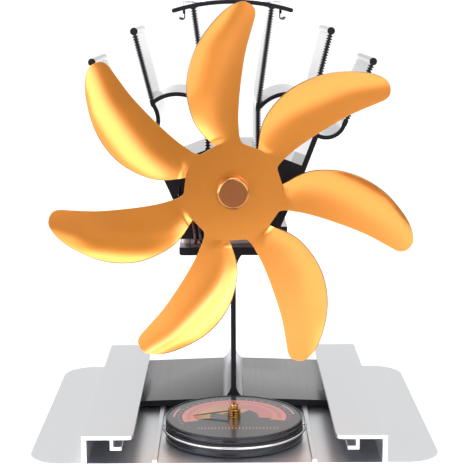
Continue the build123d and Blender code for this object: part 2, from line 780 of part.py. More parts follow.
blades = []
for blade_number in range(blade_count):
    tip_angle = first_blade_angle - blade_number * 360 / blade_count
    outward, sideways = blade_directions(tip_angle)
    hub_centre = Vector(mid_x, wheel_y, hub_z)
    with BuildPart() as blade:
        for along, bend_at, edge_at, rise_at in blade_bend_shares:
            with BuildSketch(Plane(hub_centre + outward * along * wheel_r, x_dir=sideways, z_dir=outward)):
                bent_section(bend_at * wheel_r, edge_at * wheel_r, rise_at * blade_rise)
        loft()
        slit_r = wheel_disc_r + wheel_slit_w
        root_r = blade_root_share * wheel_r
        slit_angle = radians(blade_slit_angle)
        edge_points = [
            (share * wheel_r * cos(radians(turn)), share * wheel_r * sin(radians(turn)))
            for share, turn in blade_edge_shares
        ]
        slit_out = (slit_r * cos(slit_angle), slit_r * sin(slit_angle))
        slit_in = (root_r * cos(slit_angle), root_r * sin(slit_angle))
        blade_plane = Plane(hub_centre - Vector(0, -1, 0) * 2 * blade_rise, x_dir=outward, z_dir=(0, -1, 0))
        with BuildSketch(blade_plane):
            with BuildLine():
                Spline(*edge_points)
                Polyline(edge_points[-1], slit_out, slit_in, (root_r, 0), edge_points[0])
            make_face()
        extrude(amount=4 * blade_rise, mode=Mode.INTERSECT)
    blades.append(blade.part)

with BuildPart() as fan_wheel:
    with BuildSketch(at_hub(wheel_y + wheel_t / 2)):
        Circle(wheel_disc_r)
    extrude(amount=wheel_t)
    for blade_solid in blades:
        add(blade_solid)
    with BuildSketch(at_hub(wheel_y + wheel_t / 2)):
        Circle(wheel_bore_r)
    extrude(amount=wheel_t, mode=Mode.SUBTRACT)
fan_wheel.part.label = "fan_wheel"
export_step(fan_wheel.part, "parts/fan_wheel.step")

with BuildPart() as hub_boss:
    with BuildSketch(at_hub(boss_back_y)):
        Circle(boss_r)
    extrude(amount=boss_length)
    with BuildSketch(at_hub(boss_back_y)):
        Circle(wheel_bore_r)
    extrude(amount=boss_length + wheel_t + hub_cap_t / 2)
    with BuildSketch(at_hub(boss_back_y)):
        Circle(shaft_r)
    extrude(amount=boss_length + wheel_t + hub_cap_t / 2, mode=Mode.SUBTRACT)
    with Locations((mid_x, boss_back_y - boss_length / 2, hub_z + shaft_r)):
        Cylinder(grub_r, boss_r, align=(Align.CENTER, Align.CENTER, Align.MIN), mode=Mode.SUBTRACT)
hub_boss.part.label = "hub_boss"
export_step(hub_boss.part, "parts/hub_boss.step")

with BuildPart() as hub_cap:
    with BuildSketch(at_hub(wheel_y - wheel_t / 2)):
        Circle(boss_r)
    extrude(amount=hub_cap_t)
    with BuildSketch(at_hub(wheel_y - wheel_t / 2)):
        Circle(wheel_bore_r)
    extrude(amount=hub_cap_t / 2, mode=Mode.SUBTRACT)
    with BuildSketch(at_hub(cap_front_y + hub_cap_dish)):
        Circle(boss_r - hub_cap_rim_w)
    extrude(amount=hub_cap_dish, mode=Mode.SUBTRACT)
    cap_rim = hub_cap.edges().filter_by(GeomType.CIRCLE).group_by(Axis.Y)[0].sort_by(SortBy.RADIUS)[-1]
    fillet(cap_rim, hub_cap_rim_w / 2)
hub_cap.part.label = "hub_cap"
export_step(hub_cap.part, "parts/hub_cap.step")

with BuildPart() as hub_grub_screw:
    with Locations((mid_x, boss_back_y - boss_length / 2, hub_z + shaft_r)):
        Cylinder(grub_r, grub_length, align=(Align.CENTER, Align.CENTER, Align.MIN))
    with Locations((mid_x, boss_back_y - boss_length / 2, hub_z + shaft_r + grub_length)):
        Cylinder(grub_socket_r, grub_length / 3, align=(Align.CENTER, Align.CENTER, Align.MAX),
                 mode=Mode.SUBTRACT)
hub_grub_screw.part.label = "hub_grub_screw"
export_step(hub_grub_screw.part, "parts/hub_grub_screw.step")


# Carrying handle, folded back: up through the crown at a slant, back, across, and down again
handle_pivot_z = crown_z(handle_span / 2)
lean_y = sin(radians(handle_lean))
lean_z = cos(radians(handle_lean))
handle_low_y = sink_mid_y - handle_drop * lean_y
handle_low_z = handle_pivot_z - handle_drop * lean_z
handle_high_y = sink_mid_y + handle_rise * lean_y
handle_high_z = handle_pivot_z + handle_rise * lean_z
handle_back_y = sink_mid_y + handle_reach
handle_bend_r = 2 * handle_wire_r
handle_side = [
    (handle_span / 2, handle_low_y, handle_low_z - handle_hook_length),
    (handle_span / 2, handle_low_y, handle_low_z),
    (handle_span / 2, handle_high_y, handle_high_z),
    (handle_span / 2, handle_back_y, handle_high_z),
]
handle_points = [(mid_x + x, y, z) for x, y, z in handle_side]
handle_points += [(mid_x - x, y, z) for x, y, z in reversed(handle_side)]
handle_radii = [handle_bend_r, handle_bend_r, handle_corner_r, handle_corner_r, handle_bend_r, handle_bend_r]
with BuildPart() as carry_handle:
    with BuildLine() as handle_path:
        FilletPolyline(*handle_points, radius=handle_radii)
    with BuildSketch(Plane(origin=handle_path.line @ 0, z_dir=handle_path.line % 0)):
        Circle(handle_wire_r)
    sweep(path=handle_path.line)
    for side in (-1, 1):
        hook_top = Vector(mid_x + side * handle_span / 2, handle_low_y, handle_low_z - handle_hook_length)
        with BuildLine() as hook_path:
            ThreePointArc(
                hook_top,
                hook_top + Vector(side * handle_hook_r, 0, -handle_hook_r),
                hook_top + Vector(side * 2 * handle_hook_r, 0, 0),
            )
        with BuildSketch(Plane(origin=hook_path.line @ 0, z_dir=hook_path.line % 0)):
            Circle(handle_wire_r)
        sweep(path=hook_path.line)
        with Locations(hook_path.line @ 1):
            Sphere(handle_wire_r)
carry_handle.part.label = "carry_handle"
export_step(carry_handle.part, "parts/carry_handle.step")


# Thermometer
tin_z = plate_top_z
tin_floor_z = tin_z + tin_wall_t
tin_top_z = tin_z + tin_base_h
cover_top_z = tin_top_z + cover_h
dial_top_z = cover_top_z - cover_lip_t
dial_low_z = dial_top_z - dial_t
ring_z = tin_z + ring_height
with BuildPart() as thermo_base:
    with BuildSketch(at_dial(tin_z)):
        Circle(tin_r)
    extrude(amount=tin_base_h)
    with BuildSketch(at_dial(tin_floor_z)):
        Circle(tin_r - tin_wall_t)
    extrude(amount=tin_base_h - tin_wall_t, mode=Mode.SUBTRACT)
    low_rim = thermo_base.edges().filter_by(GeomType.CIRCLE).group_by(Axis.Z)[0]
    fillet(low_rim, tin_wall_t * 0.9)
    with Locations((mid_x, dial_y, ring_z)):
        Cylinder(ring_wire_r + run_gap, 2 * tin_r + 2 * cut_over, rotation=(0, 90, 0), mode=Mode.SUBTRACT)
thermo_base.part.label = "thermo_base"
export_step(thermo_base.part, "parts/thermo_base.step")

with BuildPart() as thermo_cover:
    with BuildSketch(at_dial(tin_top_z)):
        Circle(cover_r)
    extrude(amount=cover_h)
    with BuildSketch(at_dial(tin_top_z)):
        Circle(cover_r - tin_wall_t)
    extrude(amount=cover_h - cover_lip_t, mode=Mode.SUBTRACT)
    with BuildSketch(at_dial(tin_top_z)):
        Circle(cover_r - cover_lip_w)
    extrude(amount=cover_h, mode=Mode.SUBTRACT)
    cover_rim = thermo_cover.edges().filter_by(GeomType.CIRCLE).group_by(Axis.Z)[-1].sort_by(SortBy.RADIUS)[-1]
    fillet(cover_rim, cover_lip_t)
thermo_cover.part.label = "thermo_cover"
export_step(thermo_cover.part, "parts/thermo_cover.step")

with BuildPart() as thermo_dial:
    with BuildSketch(at_dial(dial_low_z)):
        Circle(cover_r - tin_wall_t)
        Circle(spindle_bush_r, mode=Mode.SUBTRACT)
    extrude(amount=dial_t)
thermo_dial.part.label = "thermo_dial"
export_step(thermo_dial.part, "parts/thermo_dial.step")

with BuildPart() as thermo_magnets:
    with BuildSketch(at_dial(tin_floor_z)):
        with PolarLocations(tin_magnet_ring_r, tin_magnet_count, start_angle=90):
            Circle(tin_magnet_r)
    extrude(amount=tin_magnet_t)
thermo_magnets.part.label = "thermo_magnets"
export_step(thermo_magnets.part, "parts/thermo_magnets.step")

coil_z = tin_floor_z + coil_lift
coil_start_r = spindle_r + run_gap + coil_strip_t / 2


def spiral_edge(offset_r):
    """Half-turn arcs about two centres in turn, so that the strip's edge grows by one pitch a turn."""
    for half in range(2 * coil_turns):
        centre = (0, 0) if half % 2 == 0 else (coil_pitch / 2, 0)
        CenterArc(centre, coil_start_r + half * coil_pitch / 2 + offset_r, 180 * (half % 2), 180)


with BuildPart() as bimetal_coil:
    with BuildSketch(at_dial(coil_z)):
        with BuildLine():
            spiral_edge(coil_strip_t / 2)
            spiral_edge(-coil_strip_t / 2)
            coil_end_r = coil_start_r + coil_turns * coil_pitch
            Line((coil_start_r - coil_strip_t / 2, 0), (coil_start_r + coil_strip_t / 2, 0))
            Line((coil_end_r - coil_strip_t / 2, 0), (coil_end_r + coil_strip_t / 2, 0))
        make_face()
    extrude(amount=coil_strip_w)
bimetal_coil.part.label = "bimetal_coil"
export_step(bimetal_coil.part, "parts/bimetal_coil.step")

with BuildPart() as coil_post:
    with BuildSketch(at_dial(tin_floor_z)):
        with Locations((coil_end_r + coil_strip_t / 2, 0)):
            Rectangle(coil_post_w, coil_post_w, align=(Align.MIN, Align.CENTER))
    extrude(amount=coil_lift + coil_strip_w)
coil_post.part.label = "coil_post"
export_step(coil_post.part, "parts/coil_post.step")

with BuildPart() as spindle_bush:
    with BuildSketch(at_dial(dial_top_z)):
        Circle(spindle_flange_r)
    extrude(amount=spindle_flange_t)
    with BuildSketch(at_dial(dial_top_z)):
        Circle(spindle_bush_r)
    extrude(amount=-spindle_bush_h)
    with BuildSketch(at_dial(dial_top_z - spindle_bush_h)):
        Circle(spindle_r + run_gap)
    extrude(amount=spindle_bush_h + spindle_flange_t, mode=Mode.SUBTRACT)
spindle_bush.part.label = "spindle_bush"
export_step(spindle_bush.part, "parts/spindle_bush.step")

pointer_z = dial_top_z + spindle_flange_t + seat_gap
with BuildPart() as pointer_spindle:
    with BuildSketch(at_dial(tin_floor_z + seat_gap)):
        Circle(spindle_r)
    extrude(amount=pointer_z + pointer_hub_h - tin_floor_z - seat_gap)
    with BuildSketch(at_dial(pointer_z + pointer_hub_h)):
        Circle(pointer_knob_r)
    extrude(amount=pointer_knob_h)
    knob_rim = pointer_spindle.edges().filter_by(GeomType.CIRCLE).group_by(Axis.Z)[-1]
    fillet(knob_rim, pointer_knob_r / 4)
pointer_spindle.part.label = "pointer_spindle"
export_step(pointer_spindle.part, "parts/pointer_spindle.step")

with BuildPart() as pointer_arm:
    with BuildSketch(at_dial(pointer_z)):
        Circle(pointer_hub_r)
    extrude(amount=pointer_hub_h)
    with BuildSketch(at_dial(pointer_z)):
        with BuildLine():
            Polyline(
                (0, pointer_w / 2),
                (-pointer_length + pointer_w, pointer_w / 2),
                (-pointer_length, 0),
                (-pointer_length + pointer_w, -pointer_w / 2),
                (0, -pointer_w / 2),
                close=True,
            )
        make_face()
    extrude(amount=pointer_t)
    with BuildSketch(at_dial(pointer_z)):
        Circle(spindle_r)
    extrude(amount=pointer_hub_h, mode=Mode.SUBTRACT)
pointer_arm.part.label = "pointer_arm"
export_step(pointer_arm.part, "parts/pointer_arm.step")

with BuildPart() as lift_ring:
    with BuildSketch(Plane(origin=(mid_x + ring_r, dial_y, ring_z), z_dir=(0, -1, 0))):
        Circle(ring_wire_r)
    revolve(axis=Axis((mid_x, dial_y, ring_z), (0, 0, -1)), revolution_arc=180)
    for side in (-1, 1):
        with Locations((mid_x + side * ring_r, dial_y, ring_z)):
            Sphere(ring_wire_r)
            Cylinder(ring_wire_r, ring_pin_in, rotation=(0, -90 * side, 0),
                     align=(Align.CENTER, Align.CENTER, Align.MIN))
lift_ring.part.label = "lift_ring"
export_step(lift_ring.part, "parts/lift_ring.step")
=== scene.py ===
# %% [markdown]
# # A heat-powered stove fan, dressed
#
# A thin black post stands in a wide silver tray and carries a finned black heat sink. A small motor in
# the sink turns a gold wheel of seven blades, and a round thermometer lies loose in front of the post.
# The solids come from the CAD frame. Here the parts that catch the light are computed again as smooth
# surfaces, and every part gets a finish built from nodes.

# %% Load the frame
import math

import bmesh
import bpy
import numpy as np
from mathutils import Matrix, Vector


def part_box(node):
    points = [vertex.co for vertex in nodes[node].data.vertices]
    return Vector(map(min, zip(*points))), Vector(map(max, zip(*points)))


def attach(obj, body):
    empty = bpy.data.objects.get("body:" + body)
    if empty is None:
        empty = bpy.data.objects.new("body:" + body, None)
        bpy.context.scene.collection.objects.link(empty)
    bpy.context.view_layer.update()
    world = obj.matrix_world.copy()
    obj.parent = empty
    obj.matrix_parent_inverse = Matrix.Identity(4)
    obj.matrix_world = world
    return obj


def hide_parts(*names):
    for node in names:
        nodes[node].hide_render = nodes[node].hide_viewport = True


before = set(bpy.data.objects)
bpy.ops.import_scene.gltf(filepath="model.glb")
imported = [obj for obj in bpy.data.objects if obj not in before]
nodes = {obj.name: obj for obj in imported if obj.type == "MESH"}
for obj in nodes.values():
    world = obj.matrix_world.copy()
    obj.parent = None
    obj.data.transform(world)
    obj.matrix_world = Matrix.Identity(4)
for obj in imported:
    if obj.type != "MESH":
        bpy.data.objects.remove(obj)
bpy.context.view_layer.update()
MM = 0.001

# %% [markdown]
# ## Camera
#
# The photograph is a straight front view from a little above. A long lens keeps the tray's rails nearly
# parallel. The camera's turn is built from three plain turns: yaw, then pitch, then a very small roll.

# %% Camera
LENS_PIXELS, PICTURE_PIXELS, SENSOR_MM = 1282.0, 470.0, 36.0
CAMERA_PLACE = (-3.0, -590.2, 193.9)
YAW, LOOKS_DOWN, ROLL = -0.374, 10.257, -0.161
FARTHEST_SEEN = 20.0
camera_data = bpy.data.cameras.new("studio_camera")
camera_data.sensor_width = SENSOR_MM
camera_data.lens = LENS_PIXELS / PICTURE_PIXELS * SENSOR_MM
camera_data.clip_end = FARTHEST_SEEN
camera = bpy.data.objects.new("studio_camera", camera_data)
bpy.context.scene.collection.objects.link(camera)
yaw = Matrix.Rotation(math.radians(YAW), 4, "Z")
pitch = Matrix.Rotation(math.radians(90 - LOOKS_DOWN), 4, "X")
roll = Matrix.Rotation(math.radians(ROLL), 4, "Z")
camera.matrix_world = Matrix.Translation(Vector(CAMERA_PLACE) * MM) @ yaw @ pitch @ roll
bpy.context.scene.camera = camera
print("lens", round(camera_data.lens, 1), "mm")

# %% [markdown]
# ## Light
#
# Product photographs of bright metal are lit by large soft panels on a white sweep. Two broad panels
# stand in front, left and right of the camera. A narrow bright strip stands between the left one and the
# camera, and another panel high above. A wall of light stands at the object's left and a last panel hangs
# over it. A blade shines where it tilts towards a panel. A panel's brightness is its power over its area
# and pi, so each is given the brightness that the gold should mirror.

# %% Panels
PANELS = {  # width and height, place in metres, turn in degrees, brightness, blue
    "left_panel": ((1.28, 1.12), (-1.36, -1.3, 0.58), (90, 0, 0), 2.4, 1.25),
    "right_panel": ((2.09, 1.04), (1.185, -1.3, 0.66), (90, 0, 0), 2.1, 1.25),
    "side_strip": ((0.38, 0.39), (-0.45, -1.29, 0.205), (90, 0, 0), 5.6, 1.45),
    "top_panel": ((0.78, 1.04), (-0.16, -1.0, 1.88), (90, 0, 0), 2.1, 1.1),
    "left_wall": ((1.3, 0.7), (-1.0, -0.30, 0.352), (90, 0, -90), 2.4, 1.3),
    "overhead_panel": ((1.4, 1.2), (0.3, -0.2, 1.7), (0, 0, 0), 2.1, 1.1),
}
PANEL_RED, PANEL_GREEN = 0.96, 0.98


def light_panel(name, size, place, turn, brightness, blue):
    """Rectangular light whose power is its brightness times pi times its width and height."""
    data = bpy.data.lights.new(name, "AREA")
    data.shape = "RECTANGLE"
    data.size, data.size_y = size
    data.energy = brightness * math.pi * size[0] * size[1]
    data.color = (PANEL_RED, PANEL_GREEN, blue)
    lamp = bpy.data.objects.new(name, data)
    lamp.location = place
    lamp.rotation_euler = [math.radians(angle) for angle in turn]
    bpy.context.scene.collection.objects.link(lamp)


for title, values in PANELS.items():
    light_panel(title, *values)
print("panels", list(PANELS))

# %% [markdown]
# ### Building with nodes
#
# The surround and every finish are node trees. Four short helpers make them readable: one feeds a socket
# with a number or with another socket, and the others add a node of one kind that is already fed.

# %% Helpers for nodes


def feed(tree, socket, value):
    """Links a socket to another socket, or sets it to a plain number or tuple."""
    if isinstance(value, bpy.types.NodeSocket):
        tree.links.new(value, socket)
    else:
        socket.default_value = value


def math_node(tree, operation, *values, clamp=False):
    """Math node fed by sockets or plain numbers; returns its result."""
    node = tree.nodes.new("ShaderNodeMath")
    node.operation = operation
    node.use_clamp = clamp
    for socket, value in zip(node.inputs, values):
        feed(tree, socket, value)
    return node.outputs[0]


def vector_node(tree, operation, *values):
    """Vector math node fed by sockets or plain triples; returns the node."""
    node = tree.nodes.new("ShaderNodeVectorMath")
    node.operation = operation
    for socket, value in zip(node.inputs, values):
        feed(tree, socket, value)
    return node


def map_range(tree, value, low, high, to_low=0.0, to_high=1.0, smooth=True):
    """Carries a value from one range to another and holds it at the ends; smooth eases it in and out."""
    node = tree.nodes.new("ShaderNodeMapRange")
    node.interpolation_type = "SMOOTHSTEP" if smooth else "LINEAR"
    titles = ("Value", "From Min", "From Max", "To Min", "To Max")
    for title, given in zip(titles, (value, low, high, to_low, to_high)):
        feed(tree, node.inputs[title], given)
    return node.outputs[0]


print("node helpers", [helper.__name__ for helper in (feed, math_node, vector_node, map_range)])

# %% [markdown]
# ### Surround
#
# A pale surround lights every side. It is dimmer behind the object and above the horizon, where only
# reflections look, so the tray's top mirrors a soft grey instead of white.

# %% Surround
SURROUND, DIM_BEHIND = 1.15, 0.71
BEHIND_FROM, BEHIND_FULL = 0.55, 0.85
ABOVE_FROM, ABOVE_FULL = 0.01, 0.07
bpy.context.scene.view_settings.view_transform = "Standard"
world = bpy.data.worlds.new("pale_surround")
bpy.context.scene.world = world
world.use_nodes = True
sky = world.node_tree
sky.nodes.clear()
surround = sky.nodes.new("ShaderNodeBackground")
surround.inputs["Strength"].default_value = SURROUND
sky.links.new(surround.outputs[0], sky.nodes.new("ShaderNodeOutputWorld").inputs[0])
direction = sky.nodes.new("ShaderNodeSeparateXYZ")
sky.links.new(sky.nodes.new("ShaderNodeTexCoord").outputs["Generated"], direction.inputs[0])
behind = map_range(sky, direction.outputs["Y"], BEHIND_FROM, BEHIND_FULL)
above = map_range(sky, direction.outputs["Z"], ABOVE_FROM, ABOVE_FULL)
level = map_range(sky, math_node(sky, "MULTIPLY", behind, above), 0.0, 1.0, 1.0, DIM_BEHIND, smooth=False)
sky.links.new(level, surround.inputs["Color"])
print("surround", SURROUND, "and behind", round(SURROUND * DIM_BEHIND, 2))

# %% [markdown]
# ### Card and floor
#
# The camera is a dark shape between the panels, so the flat gold that faces it stays a deeper orange. A
# dark card that only reflections see stands for it. The floor is a large white sheet just under the tray.
# It ends in front of the object, further out on the right, and a greyer table runs on below the camera.
# The gold mirrors both, so its right side is brighter. None of them is part of the object.

# %% Card, floor and table
SHEET_ROUGHNESS = 0.9
WHITE, TABLE_GREY, CARD_GREY = 0.98, 0.16, 0.01
CARD_LEFT, CARD_RIGHT, CARD_Y, CARD_TOP = -0.26, 0.05, -0.75, 0.83
FLOOR_REACH = 60.0
LEFT_END, RIGHT_END = (-0.05, -0.32), (0.13, -0.45)


def flat_sheet(name, corners, grey, shows=True):
    """One flat grey face in metres, part of the stage, either shown or only mirrored."""
    mesh = bpy.data.meshes.new(name)
    mesh.from_pydata(corners, [], [tuple(range(len(corners)))])
    square = bpy.data.objects.new(name, mesh)
    square.visible_camera = shows
    bpy.context.scene.collection.objects.link(square)
    finish = bpy.data.materials.new(name + "_finish")
    finish.use_nodes = True
    shader = finish.node_tree.nodes["Principled BSDF"]
    shader.inputs["Base Color"].default_value = (grey, grey, grey, 1)
    shader.inputs["Roughness"].default_value = SHEET_ROUGHNESS
    mesh.materials.append(finish)


card_corners = [(CARD_LEFT, CARD_Y, 0.0), (CARD_RIGHT, CARD_Y, 0.0),
                (CARD_RIGHT, CARD_Y, CARD_TOP), (CARD_LEFT, CARD_Y, CARD_TOP)]
flat_sheet("dark_card", card_corners, CARD_GREY, shows=False)
sheet_edge = [(-FLOOR_REACH, LEFT_END[1], 0), (*LEFT_END, 0),
              (*RIGHT_END, 0), (FLOOR_REACH, RIGHT_END[1], 0)]
far_corners = [(FLOOR_REACH, FLOOR_REACH, 0), (-FLOOR_REACH, FLOOR_REACH, 0)]
near_corners = [(-FLOOR_REACH, -FLOOR_REACH, 0), (FLOOR_REACH, -FLOOR_REACH, 0)]
flat_sheet("white_floor", sheet_edge + far_corners, WHITE)
flat_sheet("grey_table", sheet_edge[::-1] + near_corners, TABLE_GREY, shows=False)
print("floor ends at y", LEFT_END[1], "on the left and", RIGHT_END[1], "on the right")

# %% [markdown]
# ## Surfaces from numbers
#
# Nearly every visible part of this fan is a sheet, a turned part or a bent wire. A sheet is a function of
# two numbers on a grid. A turned part is a profile carried round an axis. A wire is a circle carried
# along a path. The helpers below work on whole arrays at once.

# %% Grid and piece
MERGE, SHARP = 1e-6, math.radians(35)


def grid_faces(rows, columns, close_rows=False, close_columns=False):
    """Four corner numbers for each cell of a grid; a closed direction joins its end to its start."""
    i = np.arange(rows if close_rows else rows - 1)
    j = np.arange(columns if close_columns else columns - 1)
    i, j = np.meshgrid(i, j, indexing="ij")
    i2, j2 = (i + 1) % rows, (j + 1) % columns
    corners = [i * columns + j, i * columns + j2, i2 * columns + j2, i2 * columns + j]
    return np.stack(corners, -1).reshape(-1, 4)


def new_piece(name, points, faces, body, stands_for=(), merge=MERGE, smooth_angle=35.0):
    """Mesh from points in mm and faces: doubles merged, faces turned outwards, riding on its body."""
    mesh = bpy.data.meshes.new(name)
    places = np.asarray(points, float).reshape(-1, 3) * MM
    mesh.from_pydata(places.tolist(), [], [list(face) for face in faces])
    work = bmesh.new()
    work.from_mesh(mesh)
    bmesh.ops.remove_doubles(work, verts=work.verts, dist=merge)
    bmesh.ops.dissolve_degenerate(work, dist=merge / 2, edges=work.edges)
    bmesh.ops.recalc_face_normals(work, faces=work.faces)
    work.to_mesh(mesh)
    work.free()
    mesh.shade_smooth()
    mesh.set_sharp_from_angle(angle=math.radians(smooth_angle))
    piece = bpy.data.objects.new(name, mesh)
    bpy.context.scene.collection.objects.link(piece)
    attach(piece, body)
    if stands_for:
        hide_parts(*stands_for)
    print(name, len(mesh.polygons), "faces")
    return piece


print("a grid of 3 by 4 points has", len(grid_faces(3, 4)), "cells")

# %% [markdown]
# A path with round bends starts as straight runs between corners. Each corner then becomes an arc that
# touches both of its runs, which is how a wire lies after it has been bent round a pin.

# %% Rounded path


def rounded(corners, radii, steps=6, closed=True):
    """Polyline in mm whose corners become arcs of circles that touch each corner's two runs."""
    corners = np.asarray(corners, float)
    radii = np.broadcast_to(radii, len(corners))
    out = []
    for k, (corner, radius) in enumerate(zip(corners, radii)):
        if radius <= 0 or (not closed and k in (0, len(corners) - 1)):
            out.append(corner[None])
            continue
        back = corners[k - 1] - corner
        ahead = corners[(k + 1) % len(corners)] - corner
        back, ahead = back / np.linalg.norm(back), ahead / np.linalg.norm(ahead)
        half = math.acos(np.clip(back @ ahead, -1, 1)) / 2
        middle = (back + ahead) / np.linalg.norm(back + ahead)
        centre = corner + middle * radius / math.sin(half)
        start = corner + back * radius / math.tan(half) - centre
        end = corner + ahead * radius / math.tan(half) - centre
        t = np.linspace(0, 1, steps)[:, None]
        turn = math.pi - 2 * half
        out.append(centre + (start * np.sin((1 - t) * turn) + end * np.sin(t * turn)) / math.sin(turn))
    return np.concatenate(out)


print("a square with round corners has", len(rounded([(0, 0), (9, 0), (9, 9), (0, 9)], 1.0)), "points")

# %% [markdown]
# A turned part needs only half of its section. A wire needs two directions that stay square to its path,
# and a flat fan of triangles closes each end.

# %% Turned parts and wires


def turned(profile, centre, axis="Z", steps=96):
    """Profile of (radius, height) pairs carried round an upright axis, or round Y with height forwards."""
    radius, height = np.asarray(profile, float).T
    angle = np.radians(360.0 * np.arange(steps) / steps)
    across, up = np.outer(np.cos(angle), radius), np.outer(np.sin(angle), radius)
    rise = np.broadcast_to(height, across.shape)
    grid = np.stack([across, up, rise], -1) if axis == "Z" else np.stack([across, -rise, up], -1)
    return grid + np.asarray(centre, float), grid_faces(steps, len(radius), close_rows=True)


def wire(path, radius, sides=20, reference=(1.0, 1.0, -1.0)):
    """Circle carried along a path: each ring stands square to the path, on two directions across it."""
    path = np.asarray(path, float)
    ahead = np.gradient(path, axis=0)
    ahead /= np.linalg.norm(ahead, axis=1, keepdims=True)
    first = np.cross(ahead, np.asarray(reference, float))
    first /= np.linalg.norm(first, axis=1, keepdims=True)
    second = np.cross(ahead, first)
    angle = 2 * np.pi * np.arange(sides) / sides
    cosine, sine = np.cos(angle)[None, :, None], np.sin(angle)[None, :, None]
    points = path[:, None] + radius * (first[:, None] * cosine + second[:, None] * sine)
    caps = np.concatenate([points.reshape(-1, 3), path[:1], path[-1:]])
    faces = grid_faces(len(path), sides, close_columns=True).tolist()
    last, j = (len(path) - 1) * sides, np.arange(sides)
    faces += np.stack([np.full(sides, len(caps) - 2), (j + 1) % sides, j], 1).tolist()
    faces += np.stack([np.full(sides, len(caps) - 1), last + j, last + (j + 1) % sides], 1).tolist()
    return caps, faces


print("a straight wire of two rings has", len(wire([(0, 0, 0), (0, 0, 1)], 1.0)[1]), "faces")

# %% [markdown]
# ## Finishes
#
# Three effects are shared, so each is a node group with named inputs: a fine blasted grain, fine lines
# drawn along one direction, and rings left by a lathe. Each gives a tone to multiply the colour by, a
# roughness and a height for the bump. Tone and roughness vary about a middle value by a spread.

# %% Parts of a shader group
SHARED = ("Scale", "Roughness", "Roughness Spread", "Tone Spread")


def finish_group(name, vectors=(), numbers=()):
    """Empty shader group with its own inputs and the shared ones, and three outputs."""
    group = bpy.data.node_groups.new(name, "ShaderNodeTree")
    for title in vectors:
        group.interface.new_socket(name=title, in_out="INPUT", socket_type="NodeSocketVector")
    for title in (*numbers, *SHARED):
        group.interface.new_socket(name=title, in_out="INPUT", socket_type="NodeSocketFloat")
    for title in ("Tone", "Roughness", "Height"):
        group.interface.new_socket(name=title, in_out="OUTPUT", socket_type="NodeSocketFloat")
    return group, group.nodes.new("NodeGroupInput")


def spread(tree, value, centre, amount):
    """centre + (value - 0.5) * amount, as nodes."""
    swing = math_node(tree, "MULTIPLY", math_node(tree, "SUBTRACT", value, 0.5), amount)
    return math_node(tree, "ADD", swing, centre)


def blend_of(tree, first, share, second):
    """first * share + second * (1 - share), as nodes."""
    parts = math_node(tree, "MULTIPLY", first, share), math_node(tree, "MULTIPLY", second, 1 - share)
    return math_node(tree, "ADD", *parts)


def give(group, taken, tone, rough, height):
    """Links a group's outputs: tone spread about 1, roughness about its input, and the height as it is."""
    out = group.nodes.new("NodeGroupOutput")
    group.links.new(spread(group, tone, 1.0, taken.outputs["Tone Spread"]), out.inputs["Tone"])
    rough = spread(group, rough, taken.outputs["Roughness"], taken.outputs["Roughness Spread"])
    group.links.new(rough, out.inputs["Roughness"])
    group.links.new(height, out.inputs["Height"])


def noise(tree, vector, scale, detail=3.0, rough=0.55):
    """Noise texture read at a vector; returns its value."""
    node = tree.nodes.new("ShaderNodeTexNoise")
    for title, value in zip(("Vector", "Scale", "Detail", "Roughness"), (vector, scale, detail, rough)):
        feed(tree, node.inputs[title], value)
    return node.outputs[0]


print("every group takes", SHARED)

# %% [markdown]
# Grain is fine noise with a slow cloud in it. Drawn lines are the same noise on coordinates that are
# squeezed along one direction. Lathe rings are noise that depends on the distance from the axis alone.

# %% Three shader groups
CLOUD_SCALE, FINE_SHARE = 0.012, 0.35
WIDE_SCALE, STREAK_SHARE = 0.08, 0.6

grain, taken = finish_group("blasted_grain", vectors=["Vector"])
place, scale = taken.outputs["Vector"], taken.outputs["Scale"]
fine = noise(grain, place, scale, detail=2.0)
cloud = noise(grain, place, math_node(grain, "MULTIPLY", scale, CLOUD_SCALE))
give(grain, taken, blend_of(grain, fine, FINE_SHARE, cloud), cloud, fine)

lines, taken = finish_group("drawn_lines", vectors=["Vector", "Stretch"])
scale = taken.outputs["Scale"]
place = vector_node(lines, "MULTIPLY", taken.outputs["Vector"], taken.outputs["Stretch"]).outputs[0]
streak = noise(lines, place, scale, detail=4.0, rough=0.65)
wide = noise(lines, place, math_node(lines, "MULTIPLY", scale, WIDE_SCALE), detail=2.0)
both = blend_of(lines, streak, STREAK_SHARE, wide)
give(lines, taken, both, both, streak)

rings, taken = finish_group("lathe_rings", numbers=["Radius"])
ring_noise = rings.nodes.new("ShaderNodeTexNoise")
ring_noise.noise_dimensions = "1D"
ring_noise.inputs["Detail"].default_value = 3.0
rings.links.new(taken.outputs["Radius"], ring_noise.inputs["W"])
rings.links.new(taken.outputs["Scale"], ring_noise.inputs["Scale"])
give(rings, taken, ring_noise.outputs[0], ring_noise.outputs[0], ring_noise.outputs[0])
print("shader groups", [g.name for g in bpy.data.node_groups])

# %% [markdown]
# A finish is a Principled shader fed by one of those groups. Constant numbers go straight onto the
# shader's own sockets, and only what changes over the surface comes through the nodes.

# %% Shader and its group


def new_finish(name, color, metallic=0.0, coat=0.0, coat_roughness=0.1, coat_ior=1.5, specular=0.5):
    """Material whose constants are set; returns it, its tree, its shader and the Object coordinates."""
    finish = bpy.data.materials.new(name)
    finish.use_nodes = True
    tree = finish.node_tree
    shader = tree.nodes["Principled BSDF"]
    constants = {"Base Color": (*color, 1), "Metallic": metallic, "Specular IOR Level": specular,
                 "Coat Weight": coat, "Coat Roughness": coat_roughness, "Coat IOR": coat_ior}
    for title, value in constants.items():
        shader.inputs[title].default_value = value
    return finish, tree, shader, tree.nodes.new("ShaderNodeTexCoord").outputs["Object"]


